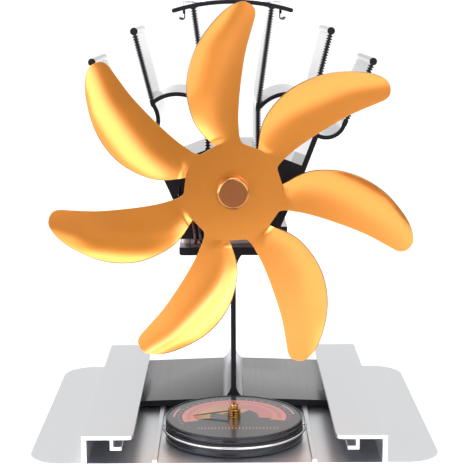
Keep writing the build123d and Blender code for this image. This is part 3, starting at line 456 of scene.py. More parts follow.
def use_group(tree, shader, group, source, numbers, color, height, bump):
    """Feeds a shader from a group: tone times colour, roughness, and a bump of a height in metres."""
    node = tree.nodes.new("ShaderNodeGroup")
    node.node_tree = group
    for title, value in (*source.items(), *zip(SHARED, numbers)):
        feed(tree, node.inputs[title], value)
    tint = vector_node(tree, "SCALE", color)
    tree.links.new(node.outputs["Tone"], tint.inputs["Scale"])
    tree.links.new(tint.outputs[0], shader.inputs["Base Color"])
    tree.links.new(node.outputs["Roughness"], shader.inputs["Roughness"])
    relief = tree.nodes.new("ShaderNodeBump")
    relief.inputs["Strength"].default_value = bump
    relief.inputs["Distance"].default_value = height
    tree.links.new(node.outputs["Height"], relief.inputs["Height"])
    tree.links.new(relief.outputs[0], shader.inputs["Normal"])


def radius_from(tree, place, centre, axis):
    """Distance of each point from axis 0, 1 or 2 through a centre in metres, and its offset from there."""
    offset = vector_node(tree, "SUBTRACT", place, centre).outputs[0]
    flat = vector_node(tree, "MULTIPLY", offset, tuple(float(k != axis) for k in range(3)))
    return vector_node(tree, "LENGTH", flat.outputs[0]).outputs["Value"], offset


print("shader helpers", [helper.__name__ for helper in (new_finish, use_group, radius_from)])

# %% [markdown]
# Every finish of the fan is then one call of one of three makers. The defaults are those of a plain
# part, and a call names only what is special about its own.

# %% Finish makers


def grained(name, color, roughness, metallic=0.0, scale=2500.0, tone=0.05, spread_by=0.06, bump=0.3,
            height=1e-5, **more):
    """Finish with a fine even grain."""
    finish, tree, shader, place = new_finish(name, color, metallic, **more)
    numbers = (scale, roughness, spread_by, tone)
    use_group(tree, shader, grain, {"Vector": place}, numbers, color, height, bump)
    return finish


def drawn(name, color, roughness, metallic=0.0, stretch_by=(1.0, 0.01, 1.0), scale=1500.0, tone=0.06,
          spread_by=0.1, bump=0.3, height=1e-5, **more):
    """Finish with fine lines along one direction, as an extrusion or rolled strip has."""
    finish, tree, shader, place = new_finish(name, color, metallic, **more)
    source, numbers = {"Vector": place, "Stretch": stretch_by}, (scale, roughness, spread_by, tone)
    use_group(tree, shader, lines, source, numbers, color, height, bump)
    return finish


def lathe_turned(name, color, roughness, centre, axis, scale=3000.0, tone=0.1, spread_by=0.1, bump=0.4,
                 height=1e-5):
    """Bare metal with rings about an axis, as a turned face has."""
    finish, tree, shader, place = new_finish(name, color, metallic=1.0)
    radius, _ = radius_from(tree, place, centre, axis)
    numbers = (scale, roughness, spread_by, tone)
    use_group(tree, shader, rings, {"Radius": radius}, numbers, color, height, bump)
    return finish


print("finish makers", [maker.__name__ for maker in (grained, drawn, lathe_turned)])

# %% [markdown]
# A piece may carry two finishes, as where a cut edge or a turned rim differs from the face beside it.
# Each face then holds the number of its material slot.

# %% Dressing a piece


def dress(piece, finish):
    """Puts a finish in every material slot of a piece or CAD node."""
    obj = nodes[piece] if isinstance(piece, str) else piece
    if not obj.material_slots:
        obj.data.materials.append(finish)
    for slot in obj.material_slots:
        slot.material = finish


def second_slot(piece, finish, chosen):
    """Adds a finish to a piece and gives it to the chosen faces, one True or False for each face."""
    piece.data.materials.append(finish)
    slots = (len(piece.data.materials) - 1) * np.asarray(chosen, np.int32)
    piece.data.polygons.foreach_set("material_index", slots)
    print(finish.name, "on", int(np.sum(chosen)), "of", len(chosen), "faces of", piece.name)


def of_faces(piece, what):
    """Centre or normal of every face, as rows of three numbers."""
    values = np.empty(len(piece.data.polygons) * 3)
    piece.data.polygons.foreach_get(what, values)
    return values.reshape(-1, 3)


print("dressing helpers", [helper.__name__ for helper in (dress, second_slot, of_faces)])

# %% [markdown]
# ## The wheel
#
# The wheel is pressed from thin sheet and anodised gold. Each blade is a sickle: one edge stays in the
# disc's plane and the other curls forward, with the crease between them running from the root to the tip.
# The outline is read at points round one blade, as shares of the wheel's radius with angles, and a smooth
# curve runs through them. The crease, the curled edge and the rise are read in the same way.

# %% Wheel sizes and outline
WHEEL_R, SHEET_T, DISC_R, SLIT_W, BORE_R, BOSS_R = 85.1, 0.8, 22.4, 0.12, 3.6, 6.2
WHEEL_Y, HUB_Z, BLADE_RISE = -15.7, 109.7, 6.0
BLADES, FIRST_TIP = 7, 86.5
OUTLINE_STEPS = 2000
# Radius as a share and angle in degrees, out along the flat edge and back along the curled one.
OUTLINE = np.array([
    (0.2632, -9.0), (0.2667, -7.0), (0.2714, -5.9), (0.2773, -5.0), (0.2856, -4.1), (0.30, -3.1),
    (0.33, -1.9), (0.40, -0.5), (0.50, -0.3), (0.62, -0.8), (0.74, -1.6), (0.86, -3.0), (0.94, -3.7),
    (0.98, -2.6), (1.0, 0.2), (0.985, 3.0), (0.945, 6.6), (0.88, 11.2), (0.80, 16.6), (0.70, 22.4),
    (0.60, 27.2), (0.50, 30.5), (0.43, 31.9), (0.38, 31.6), (0.34, 30.4), (0.305, 28.4), (0.285, 26.8),
    (0.271, 25.4)])


def smooth_through(x, known_x, known_y):
    """Catmull-Rom curve read at x: cubics that meet at the known points with their neighbours' slope."""
    known_y = np.asarray(known_y, float).reshape(len(known_x), -1)
    slope = np.gradient(known_y, known_x, axis=0)
    k = np.clip(np.searchsorted(known_x, x) - 1, 0, len(known_x) - 2)
    step = (known_x[k + 1] - known_x[k])[..., None]
    t = (np.asarray(x) - known_x[k])[..., None] / step
    leaving = known_y[k] * (1 + 2 * t) * (1 - t) ** 2 + slope[k] * step * t * (1 - t) ** 2
    arriving = known_y[k + 1] * t**2 * (3 - 2 * t) - slope[k + 1] * step * t**2 * (1 - t)
    return leaving + arriving


count = len(OUTLINE)
outline = smooth_through(np.linspace(0, count - 1, OUTLINE_STEPS), np.arange(count, dtype=float), OUTLINE)
outline_share, outline_angle = outline.T
tip = int(np.argmax(outline_share))
tip_r = outline_share[tip] * WHEEL_R


def blade_edges(radius):
    """Angles of the flat edge and of the curled edge at each radius, read on the outline's two sides."""
    share = radius / WHEEL_R
    flat = np.interp(share, outline_share[:tip + 1], outline_angle[:tip + 1])
    return flat, np.interp(share, outline_share[tip:][::-1], outline_angle[tip:][::-1])


print("blade tip at", round(tip_r, 1), "mm")

# %% [markdown]
# ### How the sheet rises
#
# Across a blade the sheet is flat up to the crease and then follows a circle. The circle is chosen so
# that the curled edge reaches the wanted rise, and the crease is a soft one, a few millimetres wide.

# %% Rise of the curled half
# Distance out, crease and curled edge as shares of WHEEL_R, then the rise as a share of BLADE_RISE.
BENDS = np.array([
    (0.20, 0.082, 0.125, 0.14), (0.36, 0.136, 0.228, 0.32), (0.48, 0.141, 0.269, 0.60),
    (0.60, 0.116, 0.275, 0.87), (0.72, 0.090, 0.255, 1.00), (0.83, 0.065, 0.207, 0.80),
    (0.93, 0.035, 0.126, 0.43), (1.02, 0.004, 0.050, 0.12)])
EDGE_OVER, CREASE_W, LEAST_RISE, MOST_TURN = 0.035, 9.0, 0.05, 0.9


def smooth_step(value):
    """3t² - 2t³, where t is the value held between 0 and 1."""
    t = np.clip(value, 0, 1)
    return t * t * (3 - 2 * t)


def blade_lift(along, across):
    """Height in front of the disc's plane: a circle that rises past the crease, eased in over it."""
    shares = smooth_through(along / WHEEL_R, BENDS[:, 0], BENDS[:, 1:])
    bend, edge, rise = shares[..., 0] * WHEEL_R, shares[..., 1] * WHEEL_R, shares[..., 2] * BLADE_RISE
    span = edge - bend + EDGE_OVER * WHEEL_R
    top = np.maximum(rise, LEAST_RISE) * (span / (edge - bend)) ** 2
    circle = (span**2 + top**2) / (2 * top)
    past = across - bend
    past = np.clip((past + np.sqrt(past**2 + CREASE_W**2)) / 2, 0, MOST_TURN * circle)
    return circle - np.sqrt(circle**2 - past**2)


half_out = np.array([WHEEL_R / 2])
print("half way out the sheet stands", blade_lift(half_out, half_out / 2).round(2), "mm forward")

# %% [markdown]
# ### A blade as a grid
#
# Rows run out from the root at growing radius, columns run across from one edge to the other. Each blade
# starts beyond a narrow slit that frees its curled half from the disc, so the first row has no cells
# there. Rows crowd together at the root and at the tip, where the outline turns sharply.

# %% Blade grid
SECTOR = 360 / BLADES
LEFT_EDGE, SLIT_ANGLE, CURL_ROOT, SECTOR_END = -9.0, 17.5, 25.4, 37.0
ROOT_CELLS, SLIT_CELLS, BLADE_ROWS = 22, 12, 76
SLIT_SHARE, SLIT_FADE, TIP_GAP, LEAST_ALONG = 0.62, 12.0, 0.03, 0.20
ROOT_EASE, SLIT_EASE, EASE_FROM = 7.0, 3.2, 0.4


def blade_angles(radius):
    """Angles across a blade at each radius: ROOT_CELLS columns to the slit's end, the rest beyond it."""
    flat, curled = blade_edges(radius)
    out = smooth_step((radius - DISC_R - SLIT_W) / SLIT_FADE)
    slit_end = SLIT_ANGLE * (1 - out) + (flat + SLIT_SHARE * (curled - flat)) * out
    first = np.linspace(0, 1, ROOT_CELLS + 1)
    second = np.linspace(0, 1, SLIT_CELLS + 1)[1:]
    return np.concatenate([flat[:, None] + (slit_end - flat)[:, None] * first,
                           slit_end[:, None] + (curled - slit_end)[:, None] * second], axis=1)


crowded = (1 - np.cos(np.pi * np.linspace(0, 1, BLADE_ROWS))) / 2
root_r = DISC_R + SLIT_W
blade_radii = np.concatenate([[DISC_R], root_r + (tip_r - TIP_GAP - root_r) * crowded])
angles = blade_angles(blade_radii)
angles[0] = blade_angles(np.array([root_r]))[0]
root_angles = LEFT_EDGE + (SLIT_ANGLE - LEFT_EDGE) * np.linspace(0, 1, ROOT_CELLS + 1)
angles[0, :ROOT_CELLS + 1] = root_angles
along = blade_radii[:, None] * np.cos(np.radians(angles))
across = blade_radii[:, None] * np.sin(np.radians(angles))
beside_slit = smooth_step((np.arange(angles.shape[1]) / ROOT_CELLS - EASE_FROM) / (1 - EASE_FROM))
ease_over = ROOT_EASE + (SLIT_EASE - ROOT_EASE) * beside_slit
lift = blade_lift(np.maximum(along, LEAST_ALONG * WHEEL_R), across)
lift = lift * smooth_step((blade_radii - DISC_R)[:, None] / ease_over)
blade_grid = np.stack([along, lift, across], -1)
cells = grid_faces(*along.shape)
row, column = np.divmod(np.arange(len(cells)), along.shape[1] - 1)
joined = ~((row == 0) & (column >= ROOT_CELLS))
cells, curled_cell = cells[joined], (column[joined] >= ROOT_CELLS) & (row[joined] > 1)
print("blade", len(cells), "cells, highest", round(float(lift.max()), 2), "mm")

# %% [markdown]
# ### The disc
#
# The disc is cut into seven sectors whose rows join the blades, so the whole sheet is one surface.
# Between two blades the rim is a straight notch: there the radius shrinks by the cosine rule of a chord.

# %% Disc sector
DISC_RINGS, GAP_STEPS, NOTCH_STEPS = 10, 9, 13
disc_angles = np.concatenate([
    np.linspace(SECTOR_END - SECTOR, LEFT_EDGE, GAP_STEPS)[:-1], root_angles,
    np.linspace(SLIT_ANGLE, CURL_ROOT, GAP_STEPS)[1:],
    np.linspace(CURL_ROOT, SECTOR_END, NOTCH_STEPS)[1:]])
next_edge = LEFT_EDGE + SECTOR
notch_middle, notch_half = (CURL_ROOT + next_edge) / 2, (next_edge - CURL_ROOT) / 2
from_middle = np.abs((disc_angles - notch_middle + SECTOR / 2) % SECTOR - SECTOR / 2)
chord = np.cos(np.radians(notch_half)) / np.cos(np.radians(from_middle))
rim_share = np.where(from_middle < notch_half, chord, 1.0)
disc_radii = np.concatenate([[BORE_R], np.linspace(BOSS_R, DISC_R, DISC_RINGS)])
grow = ((disc_radii - BOSS_R) / (DISC_R - BOSS_R)).clip(0, 1)[:, None]
disc_reach = disc_radii[:, None] * (1 - grow + grow * rim_share[None, :])
disc_turn = np.radians(disc_angles)
disc_parts = np.broadcast_arrays(disc_reach * np.cos(disc_turn), 0.0, disc_reach * np.sin(disc_turn))
disc_grid = np.stack(disc_parts, -1)
disc_cells = grid_faces(len(disc_radii), len(disc_angles))
print("disc sector", len(disc_cells), "cells, notch", round(2 * notch_half, 1), "degrees wide")

# %% [markdown]
# ### Seven times round
#
# Blade and sector are turned about the shaft seven times and merged. A modifier then gives the surface
# the sheet's thickness, and another breaks the cut edges.

# %% Whole wheel
WHEEL_MERGE, EDGE_BREAK, CUT_ANGLE = 4e-6, 0.28, 50
points, faces, curled_face, start = [], [], [], 0
flat_cell = np.zeros(len(disc_cells), bool)
for number in range(BLADES):
    turn = math.radians(FIRST_TIP - number * SECTOR)
    outward = (math.cos(turn), 0, math.sin(turn))
    sideways = (-math.sin(turn), 0, math.cos(turn))
    axes = np.array([outward, (0, -1.0, 0), sideways])
    for grid, quads, curled in ((blade_grid, cells, curled_cell), (disc_grid, disc_cells, flat_cell)):
        points.append(grid.reshape(-1, 3) @ axes + (0, WHEEL_Y, HUB_Z))
        faces.append(quads + start)
        curled_face.append(curled)
        start += len(points[-1])
wheel = new_piece("gold_wheel", np.concatenate(points), np.concatenate(faces), "rotor",
                  ["fan_wheel"], merge=WHEEL_MERGE, smooth_angle=40.0)
wall = wheel.modifiers.new("sheet_thickness", "SOLIDIFY")
wall.thickness = SHEET_T * MM
wall.offset = 0.0
wall.use_rim = True
wall.material_offset_rim = 1
soft = wheel.modifiers.new("broken_edge", "BEVEL")
soft.width = EDGE_BREAK * MM
soft.segments = 2
# The broken edges take the pale cut finish, which carries a painted highlight.
soft.material = 1
soft.limit_method = "ANGLE"
soft.angle_limit = math.radians(CUT_ANGLE)
soft.harden_normals = True

# %% [markdown]
# The gold film is bead blasted before it is dyed, so it is satin and hides the rolling lines. Where the
# sheet was cut, the bare edge is paler, partly bare metal and partly a painted highlight along the broken
# edge. The curled halves have their own slots, so that their cut edge can be darker, as painted shade.

# %% Gold film
GOLD = (0.96, 0.315, 0.014)
CUT_LINES = {"stretch_by": (0.3, 1.0, 0.3), "scale": 2500.0}
gold_film = grained("gold_film", GOLD, 0.30, metallic=1.0, scale=3500.0, tone=0.04, spread_by=0.05,
                    bump=0.2, height=5e-6, coat=1.0, coat_roughness=0.24, coat_ior=1.68)
# The pale cut edge is partly bare metal and partly a painted highlight; the dark cut edge of the curled
# halves is painted shade.
pale_cut_with_painted_highlight = drawn("gold_cut_edge_painted_highlight", (0.98, 0.72, 0.36), 0.50, metallic=0.45, **CUT_LINES)
cut_edge_painted_shade = drawn("curled_cut_edge_painted_shade", (0.34, 0.22, 0.09), 0.45, metallic=1.0, **CUT_LINES)
for finish in (gold_film, pale_cut_with_painted_highlight, gold_film, cut_edge_painted_shade):
    wheel.data.materials.append(finish)
CURLED_SLOT = 2
curled_face = np.concatenate(curled_face).astype(np.int32)
wheel.data.polygons.foreach_set("material_index", CURLED_SLOT * curled_face)
print("curled faces", int(curled_face.sum()), "of", len(curled_face))

# %% [markdown]
# ## Hub
#
# A short turned cap holds the wheel on its boss. Its face is brushed upright in a copper brown, and the
# broken edge round it is bright. Behind the wheel the turned brass boss grips the shaft.

# %% Hub cap and boss
CAP_T, CAP_R, CAP_FACE_R, CAP_FLAT_R, CAP_HOLE_R, CAP_HOLE_H = 5.4, 7.4, 6.25, 6.1, 3.7, 2.6
BOSS_L, BOSS_BREAK, SHAFT_R, SPIGOT_R, SPIGOT_L = 8.0, 0.3, 1.0, 3.55, 11.5
cap_back, boss_back = WHEEL_Y - SHEET_T / 2, WHEEL_Y + SHEET_T / 2 + BOSS_L
cap_profile = [
    (0, CAP_T - 0.05), (3.0, CAP_T - 0.04), (CAP_FLAT_R, CAP_T), (CAP_FACE_R, CAP_T), (6.45, CAP_T - 0.06),
    (6.85, CAP_T - 0.28), (7.18, CAP_T - 0.6), (7.34, CAP_T - 0.95), (CAP_R, CAP_T - 1.3), (CAP_R, 0.9),
    (7.3, 0.5), (7.05, 0.2), (6.7, 0.0), (CAP_HOLE_R, 0.0), (CAP_HOLE_R, CAP_HOLE_H), (0, CAP_HOLE_H)]
cap_points, cap_faces = turned(cap_profile, (0, cap_back, HUB_Z), axis="Y", steps=128)
hub_cap = new_piece("hub_cap_turned", cap_points, cap_faces, "rotor", ["hub_cap"],
                    smooth_angle=50)
boss_profile = [
    (SHAFT_R, 0), (BOSS_R - BOSS_BREAK, 0), (BOSS_R, BOSS_BREAK), (BOSS_R, BOSS_L - BOSS_BREAK),
    (BOSS_R - BOSS_BREAK, BOSS_L), (BORE_R, BOSS_L), (SPIGOT_R, SPIGOT_L), (SHAFT_R, SPIGOT_L),
    (SHAFT_R, 0)]
boss_points, boss_faces = turned(boss_profile, (0, boss_back, HUB_Z), axis="Y")
hub_boss = new_piece("hub_boss_turned", boss_points, boss_faces, "rotor", ["hub_boss"])

# %% [markdown]
# The cap has two finishes on one mesh. A face belongs to the rim when its middle lies outside the flat
# face.

# %% Hub finishes
X, Y, Z = 0, 1, 2
hub_centre = (0, WHEEL_Y * MM, HUB_Z * MM)
cap_finish = drawn("copper_face", (0.49, 0.178, 0.06), 0.30, metallic=1.0, stretch_by=(1.0, 1.0, 0.03),
                   scale=2600.0, tone=0.16, height=6e-6)
bright_rim = lathe_turned("bright_rim", (0.42, 0.21, 0.065), 0.16, hub_centre, Y, scale=2600.0, tone=0.06)
face_centres = of_faces(hub_cap, "center") / MM
on_rim = np.hypot(face_centres[:, X], face_centres[:, Z] - HUB_Z) > (CAP_FLAT_R + CAP_FACE_R) / 2
dress(hub_cap, cap_finish)
second_slot(hub_cap, bright_rim, on_rim)
dress(hub_boss, lathe_turned("turned_brass", (0.80, 0.55, 0.22), 0.22, hub_centre, Y, scale=2200.0))

# %% [markdown]
# ## Thermometer
#
# A shallow tin holds a bimetal coil. Its cover has a rolled edge round a printed dial, and a brass
# spindle turns the pointer. Every part here is turned round one upright axis.

# %% Tin, cover and dial plate
DIAL_Y, TIN_Z, COVER_Z, DIAL_Z = -37.6, 2.4, 8.3, 10.75
TIN_R, TIN_IN_R, COVER_R, COVER_IN_R, DIAL_R, DIAL_HOLE_R = 30.9, 30.1, 30.7, 29.9, 29.9, 2.0
ROUND_STEPS = 192
tin_profile = [
    (0, 0), (29.5, 0), (30.3, 0.12), (30.75, 0.45), (TIN_R, 1.0), (TIN_R, 4.1), (30.78, 4.35),
    (30.62, 4.5), (30.62, 5.3), (30.78, 5.45), (30.85, 5.7), (30.8, 5.9), (TIN_IN_R, 5.9),
    (TIN_IN_R, 0.8), (0, 0.8)]
cover_profile = [
    (COVER_IN_R, 0), (30.45, 0), (30.66, 0.15), (COVER_R, 0.4), (COVER_R, 1.35), (30.58, 1.55),
    (30.42, 1.7), (30.42, 2.35), (30.5, 2.6), (30.5, 2.85), (30.38, 3.08), (30.1, 3.2), (29.85, 3.2),
    (29.8, 3.05), (29.8, 2.85), (COVER_IN_R, 2.85), (COVER_IN_R, 0)]
dial_profile = [
    (DIAL_HOLE_R, 0), (29.85, 0), (DIAL_R, 0.1), (DIAL_R, 0.3), (29.8, 0.4), (15.0, 0.4),
    (DIAL_HOLE_R, 0.4), (DIAL_HOLE_R, 0)]


def turned_on_dial(name, node, profile, low_z, body="thermometer", steps=ROUND_STEPS,
                   smooth_angle=35.0):
    """Piece turned round the thermometer's upright axis, its profile's heights counted from low_z."""
    points, faces = turned(profile, (0, DIAL_Y, low_z), steps=steps)
    return new_piece(name, points, faces, body, [node], smooth_angle=smooth_angle)


tin = turned_on_dial("tin_body", "thermo_base", tin_profile, TIN_Z, smooth_angle=50)
cover = turned_on_dial("tin_cover", "thermo_cover", cover_profile, COVER_Z, smooth_angle=50)
dial = turned_on_dial("dial_plate", "thermo_dial", dial_profile, DIAL_Z, smooth_angle=40)
black_paint = grained("black_paint", (0.0108, 0.0108, 0.0114), 0.22, scale=900.0, tone=0.2, bump=0.12,
                      height=3e-5, coat=0.15, coat_roughness=0.12, specular=0.3)
dress(tin, black_paint)
dress(cover, black_paint)

# %% [markdown]
# ### Printed dial
#
# The print has a near-black ground with two broad arcs over the back half, a salmon one outside and one
# inside it that runs from amber to rose, and an amber wedge in the middle. Rows of fine ticks stand on
# the outer arc, near the rim and in front. Angle and radius come from the Object coordinates, so the
# print needs no picture.

# %% Masks for the print
dial_finish, dt, dial_shader, dial_place = new_finish("printed_dial", (0.1, 0.1, 0.1), coat=0.6,
                                                      coat_roughness=0.08)
dial_radius, dial_offset = radius_from(dt, dial_place, (0, DIAL_Y * MM, 0), Z)
split = dt.nodes.new("ShaderNodeSeparateXYZ")
dt.links.new(dial_offset, split.inputs[0])
dial_turn = math_node(dt, "ARCTAN2", split.outputs["X"], split.outputs["Y"])
dial_angle = math_node(dt, "MULTIPLY", dial_turn, 180 / math.pi)
dial_mm, row_x, row_y = (math_node(dt, "MULTIPLY", metres, 1 / MM)
                         for metres in (dial_radius, split.outputs["X"], split.outputs["Y"]))


def times(first, second):
    """Product of two masks of the dial."""
    return math_node(dt, "MULTIPLY", first, second)


def between(value, low, high, blur):
    """1 where the value lies between two numbers, with soft ends."""
    up, down = (map_range(dt, value, edge - blur, edge + blur) for edge in (low, high))
    return math_node(dt, "SUBTRACT", up, down, clamp=True)


def ring_part(r_low, r_high, from_angle, to_angle, r_blur, angle_blur=0.4):
    """Mask of a piece of ring between two radii in mm and two angles in degrees."""
    on_arc = between(dial_angle, from_angle, to_angle, angle_blur)
    return times(between(dial_mm, r_low, r_high, r_blur), on_arc)


def ticks(value, pitch, half_width):
    """Ticks along a value: 1 where it lies within a share of the pitch, half way between two steps."""
    share = math_node(dt, "FRACT", math_node(dt, "DIVIDE", value, pitch))
    off_middle = math_node(dt, "ABSOLUTE", math_node(dt, "SUBTRACT", share, 0.5))
    return math_node(dt, "LESS_THAN", off_middle, half_width)


def paint_over(under, color, mask):
    """Lays one colour over another where a mask is 1."""
    mix = dt.nodes.new("ShaderNodeMix")
    mix.data_type = "RGBA"
    dt.links.new(mask, mix.inputs["Factor"])
    for side, value in (("A", under), ("B", color)):
        feed(dt, mix.inputs[side], (*value, 1) if isinstance(value, tuple) else value)
    return mix.outputs["Result"]


print("dial masks read radius and angle about y", DIAL_Y, "mm")

# %% [markdown]
# The print is laid like paint, one colour over another. Each mark is a mask with its own ink.

# %% Dial print
GROUND, SALMON = (0.020, 0.020, 0.020), (0.45, 0.125, 0.10)
ROSE, AMBER = (0.36, 0.105, 0.09), (0.40, 0.20, 0.08)
AMBER_TO_ROSE = (-70.0, 20.0)
rim_sides = math_node(dt, "ADD", between(dial_angle, -92, -66, 0.5), between(dial_angle, 55, 84, 0.5))
front_row = times(between(row_x, -16.0, 19.0, 0.1), between(row_y, -17.3, -15.6, 0.1))
inner_ink = paint_over(AMBER, ROSE, map_range(dt, dial_angle, *AMBER_TO_ROSE, smooth=False))
layers = [
    (AMBER, ring_part(6.0, 11.0, -62, 38, 0.12, 0.8)),
    (inner_ink, ring_part(10.9, 17.1, -105, 100, 0.12, 0.5)),
    (SALMON, ring_part(17.2, 23.4, -110, 106, 0.12)),
    ((0.16, 0.06, 0.05), times(ticks(dial_angle, 4.5, 0.2), ring_part(19.4, 21.4, -104, 100, 0.1))),
    ((0.20, 0.12, 0.10), ring_part(16.8, 17.3, -112, 108, 0.08)),
    ((0.45, 0.16, 0.15), times(ticks(dial_angle, 9.0, 0.06), ring_part(24.4, 25.6, -113, 109, 0.08))),
    ((0.45, 0.18, 0.17), times(between(dial_mm, 26.6, 27.4, 0.1), rim_sides)),
    ((0.42, 0.14, 0.12), times(ticks(row_x, 1.5, 0.17), front_row)),
]
print_color = GROUND
for ink, mask in layers:
    print_color = paint_over(print_color, ink, mask)
use_group(dt, dial_shader, grain, {"Vector": dial_place}, (1800.0, 0.30, 0.05, 0.08), print_color,
          height=1e-5, bump=0.15)
dress(dial, dial_finish)
print("inks laid on the dial", len(layers))

# %% [markdown]
# ### Spindle and pointer
#
# The spindle stands in a flanged bush and ends in a slim knob. The pointer is a thin brass strip with a
# tapered end, and it droops a little from a grooved hub. Its underside lies in the dark, given as painted
# shade.

# %% Bush and spindle
BUSH_R, FLANGE_R, FLANGE_T, BUSH_L, BUSH_BORE = 2.0, 3.0, 0.5, 2.0, 0.95
BUSH_Z, SPINDLE_R, SPINDLE_LOW = 11.15, 0.9, 3.3
KNOB_R, KNOB_TOP, HUB_R, HUB_LOW, HUB_TOP = 1.7, 17.15, 2.85, 11.75, 14.75
bush_profile = [
    (BUSH_BORE, -BUSH_L), (BUSH_R, -BUSH_L), (BUSH_R, 0), (FLANGE_R - 0.1, 0.0), (FLANGE_R, 0.1),
    (FLANGE_R, FLANGE_T - 0.1), (FLANGE_R - 0.1, FLANGE_T), (BUSH_BORE, FLANGE_T), (BUSH_BORE, -BUSH_L)]
spindle_profile = [
    (0, SPINDLE_LOW), (SPINDLE_R, SPINDLE_LOW), (SPINDLE_R, HUB_TOP + 0.05),
    (KNOB_R - 0.1, HUB_TOP + 0.05), (KNOB_R, HUB_TOP + 0.15), (KNOB_R, KNOB_TOP - 0.3),
    (KNOB_R - 0.12, KNOB_TOP - 0.08), (KNOB_R - 0.35, KNOB_TOP), (0, KNOB_TOP)]
bush = turned_on_dial("dial_bush", "spindle_bush", bush_profile, BUSH_Z, steps=64)
spindle = turned_on_dial("spindle_knob", "pointer_spindle", spindle_profile, 0, "pointer",
                         steps=64)
# The brass is darkened to a deep brown, a painted reflection of the dark surroundings that its bright
# surface mirrors. Bush, spindle and pointer all take it.
brass = lathe_turned("spindle_brass_painted_dark_reflection", (0.34, 0.17, 0.04), 0.09, (0, DIAL_Y * MM, 0), Z, scale=1500.0,
                     tone=0.12)

# %% [markdown]
# The pointer's strip has four corners at each of its stations, joined along its length like a closed
# tube.

# %% Pointer
HUB_BORE, GROOVE, HUB_H = 0.92, 0.14, HUB_TOP - HUB_LOW
STATIONS = np.array([2.5, 6.0, 12.0, 16.5, 18.1, 18.6])
HALF_WIDTHS = np.array([0.75, 0.72, 0.66, 0.60, 0.30, 0.04])
DROOP, NEEDLE_LOW, NEEDLE_TOP, LOOKS_UNDER = 2.1, 13.55, 13.85, -0.5
hub_profile = [
    (HUB_BORE, 0), (HUB_R - GROOVE, 0), (HUB_R, GROOVE), (HUB_R, 0.9), (HUB_R - GROOVE, 1.0),
    (HUB_R - GROOVE, 1.15), (HUB_R, 1.25), (HUB_R, 1.9), (HUB_R - GROOVE, 2.0), (HUB_R - GROOVE, 2.15),
    (HUB_R, 2.25), (HUB_R, HUB_H - GROOVE), (HUB_R - GROOVE, HUB_H), (HUB_BORE, HUB_H), (HUB_BORE, 0)]
hub_points, hub_faces = turned(hub_profile, (0, DIAL_Y, HUB_LOW), steps=64)
hub_points = hub_points.reshape(-1, 3)
drop = DROOP * (STATIONS - STATIONS[0]) / (STATIONS[-1] - STATIONS[0])
corners = ((-1, NEEDLE_LOW), (1, NEEDLE_LOW), (1, NEEDLE_TOP), (-1, NEEDLE_TOP))
needle = np.stack([np.stack([-STATIONS, DIAL_Y + side * HALF_WIDTHS, z - drop], -1)
                   for side, z in corners], 1)
needle_cells = grid_faces(*needle.shape[:2], close_columns=True)
needle_faces = np.concatenate([needle_cells, [[0, 1, 2, 3], [23, 22, 21, 20]]]) + len(hub_points)
pointer = new_piece("pointer_needle", np.concatenate([hub_points, needle.reshape(-1, 3)]),
                    np.concatenate([hub_faces, needle_faces]), "pointer", ["pointer_arm"])
for part in (bush, spindle, pointer):
    dress(part, brass)
# The pointer's downward faces get a near-black finish as painted shade.
underside_painted_shade = grained("pointer_underside_painted_shade", (0.02, 0.018, 0.015), 0.4, scale=1500.0, tone=0.2)
second_slot(pointer, underside_painted_shade, of_faces(pointer, "normal")[:, Z] < LOOKS_UNDER)

# %% [markdown]
# ## Bright wires
#
# Two wires are plated bright. The lifting ring is a half hoop round the tin, and its ends turn in through
# the tin's wall. One end is worked out, and the other is its mirror image.

# %% Lifting ring
RING_R, RING_Z, RING_WIRE, HOOP_POINTS = 32.05, 7.3, 0.52, 121
PIN_END, PIN_RUN, PIN_BEND, JOIN_GAP = 29.65, 3.0, 0.7, 0.3
MIRROR = (-1, 1, 1)
hoop = np.radians(np.linspace(180, 360, HOOP_POINTS))
hoop_path = np.stack([RING_R * np.cos(hoop), DIAL_Y + RING_R * np.sin(hoop),
                      np.full(HOOP_POINTS, RING_Z)], -1)
pin_corners = [(-PIN_END, DIAL_Y, RING_Z), (-RING_R, DIAL_Y, RING_Z), (-RING_R, DIAL_Y - PIN_RUN, RING_Z)]
pin = rounded(pin_corners, PIN_BEND, closed=False)[:-1]
past_pin = hoop_path[hoop_path[:, Y] < pin[-1, Y] - JOIN_GAP]
ring_path = np.concatenate([pin, past_pin, pin[::-1] * MIRROR])
ring_points, ring_faces = wire(ring_path, RING_WIRE, sides=24, reference=(0, 0, 1))
ring = new_piece("lifting_ring", ring_points, ring_faces, "ring", ["lift_ring"],
                 smooth_angle=60)

# %% [markdown]
# The carrying handle is one wire. A hook hangs in a hole of the crown at each end, the legs slant up and
# back, and the loop lies behind the crown. The right side is worked out from the hook to the loop's
# corner.

# %% Carrying handle
HANDLE_WIRE, LEG_X, HOOK_R, HOOK_STEPS = 0.62, 22.85, 1.0, 12
HOLE_Y, HOOK_Z, LEG_LOW, LEG_BACK, LOOP_Z, LOOP_Y = 26.486, 187.54, 189.14, 30.857, 194.35, 69.8
LEG_BEND, LOOP_BEND = 1.24, 7.0
leg = [(LEG_X, HOLE_Y, HOOK_Z), (LEG_X, HOLE_Y, LEG_LOW),
       (LEG_X, LEG_BACK, LOOP_Z), (LEG_X, LOOP_Y, LOOP_Z)]
hook_turn = np.radians(np.linspace(0, 180, HOOK_STEPS + 1))[:-1]
hook = np.stack([LEG_X + HOOK_R * (1 + np.cos(hook_turn)), np.full(HOOK_STEPS, HOLE_Y),
                 HOOK_Z - HOOK_R * np.sin(hook_turn)], -1)
leg_path = rounded(leg, [0, LEG_BEND, LEG_BEND, 0], steps=9, closed=False)
right_side = np.concatenate([hook, leg_path])
loop_corners = np.concatenate([right_side[-2:], right_side[-2:][::-1] * MIRROR])
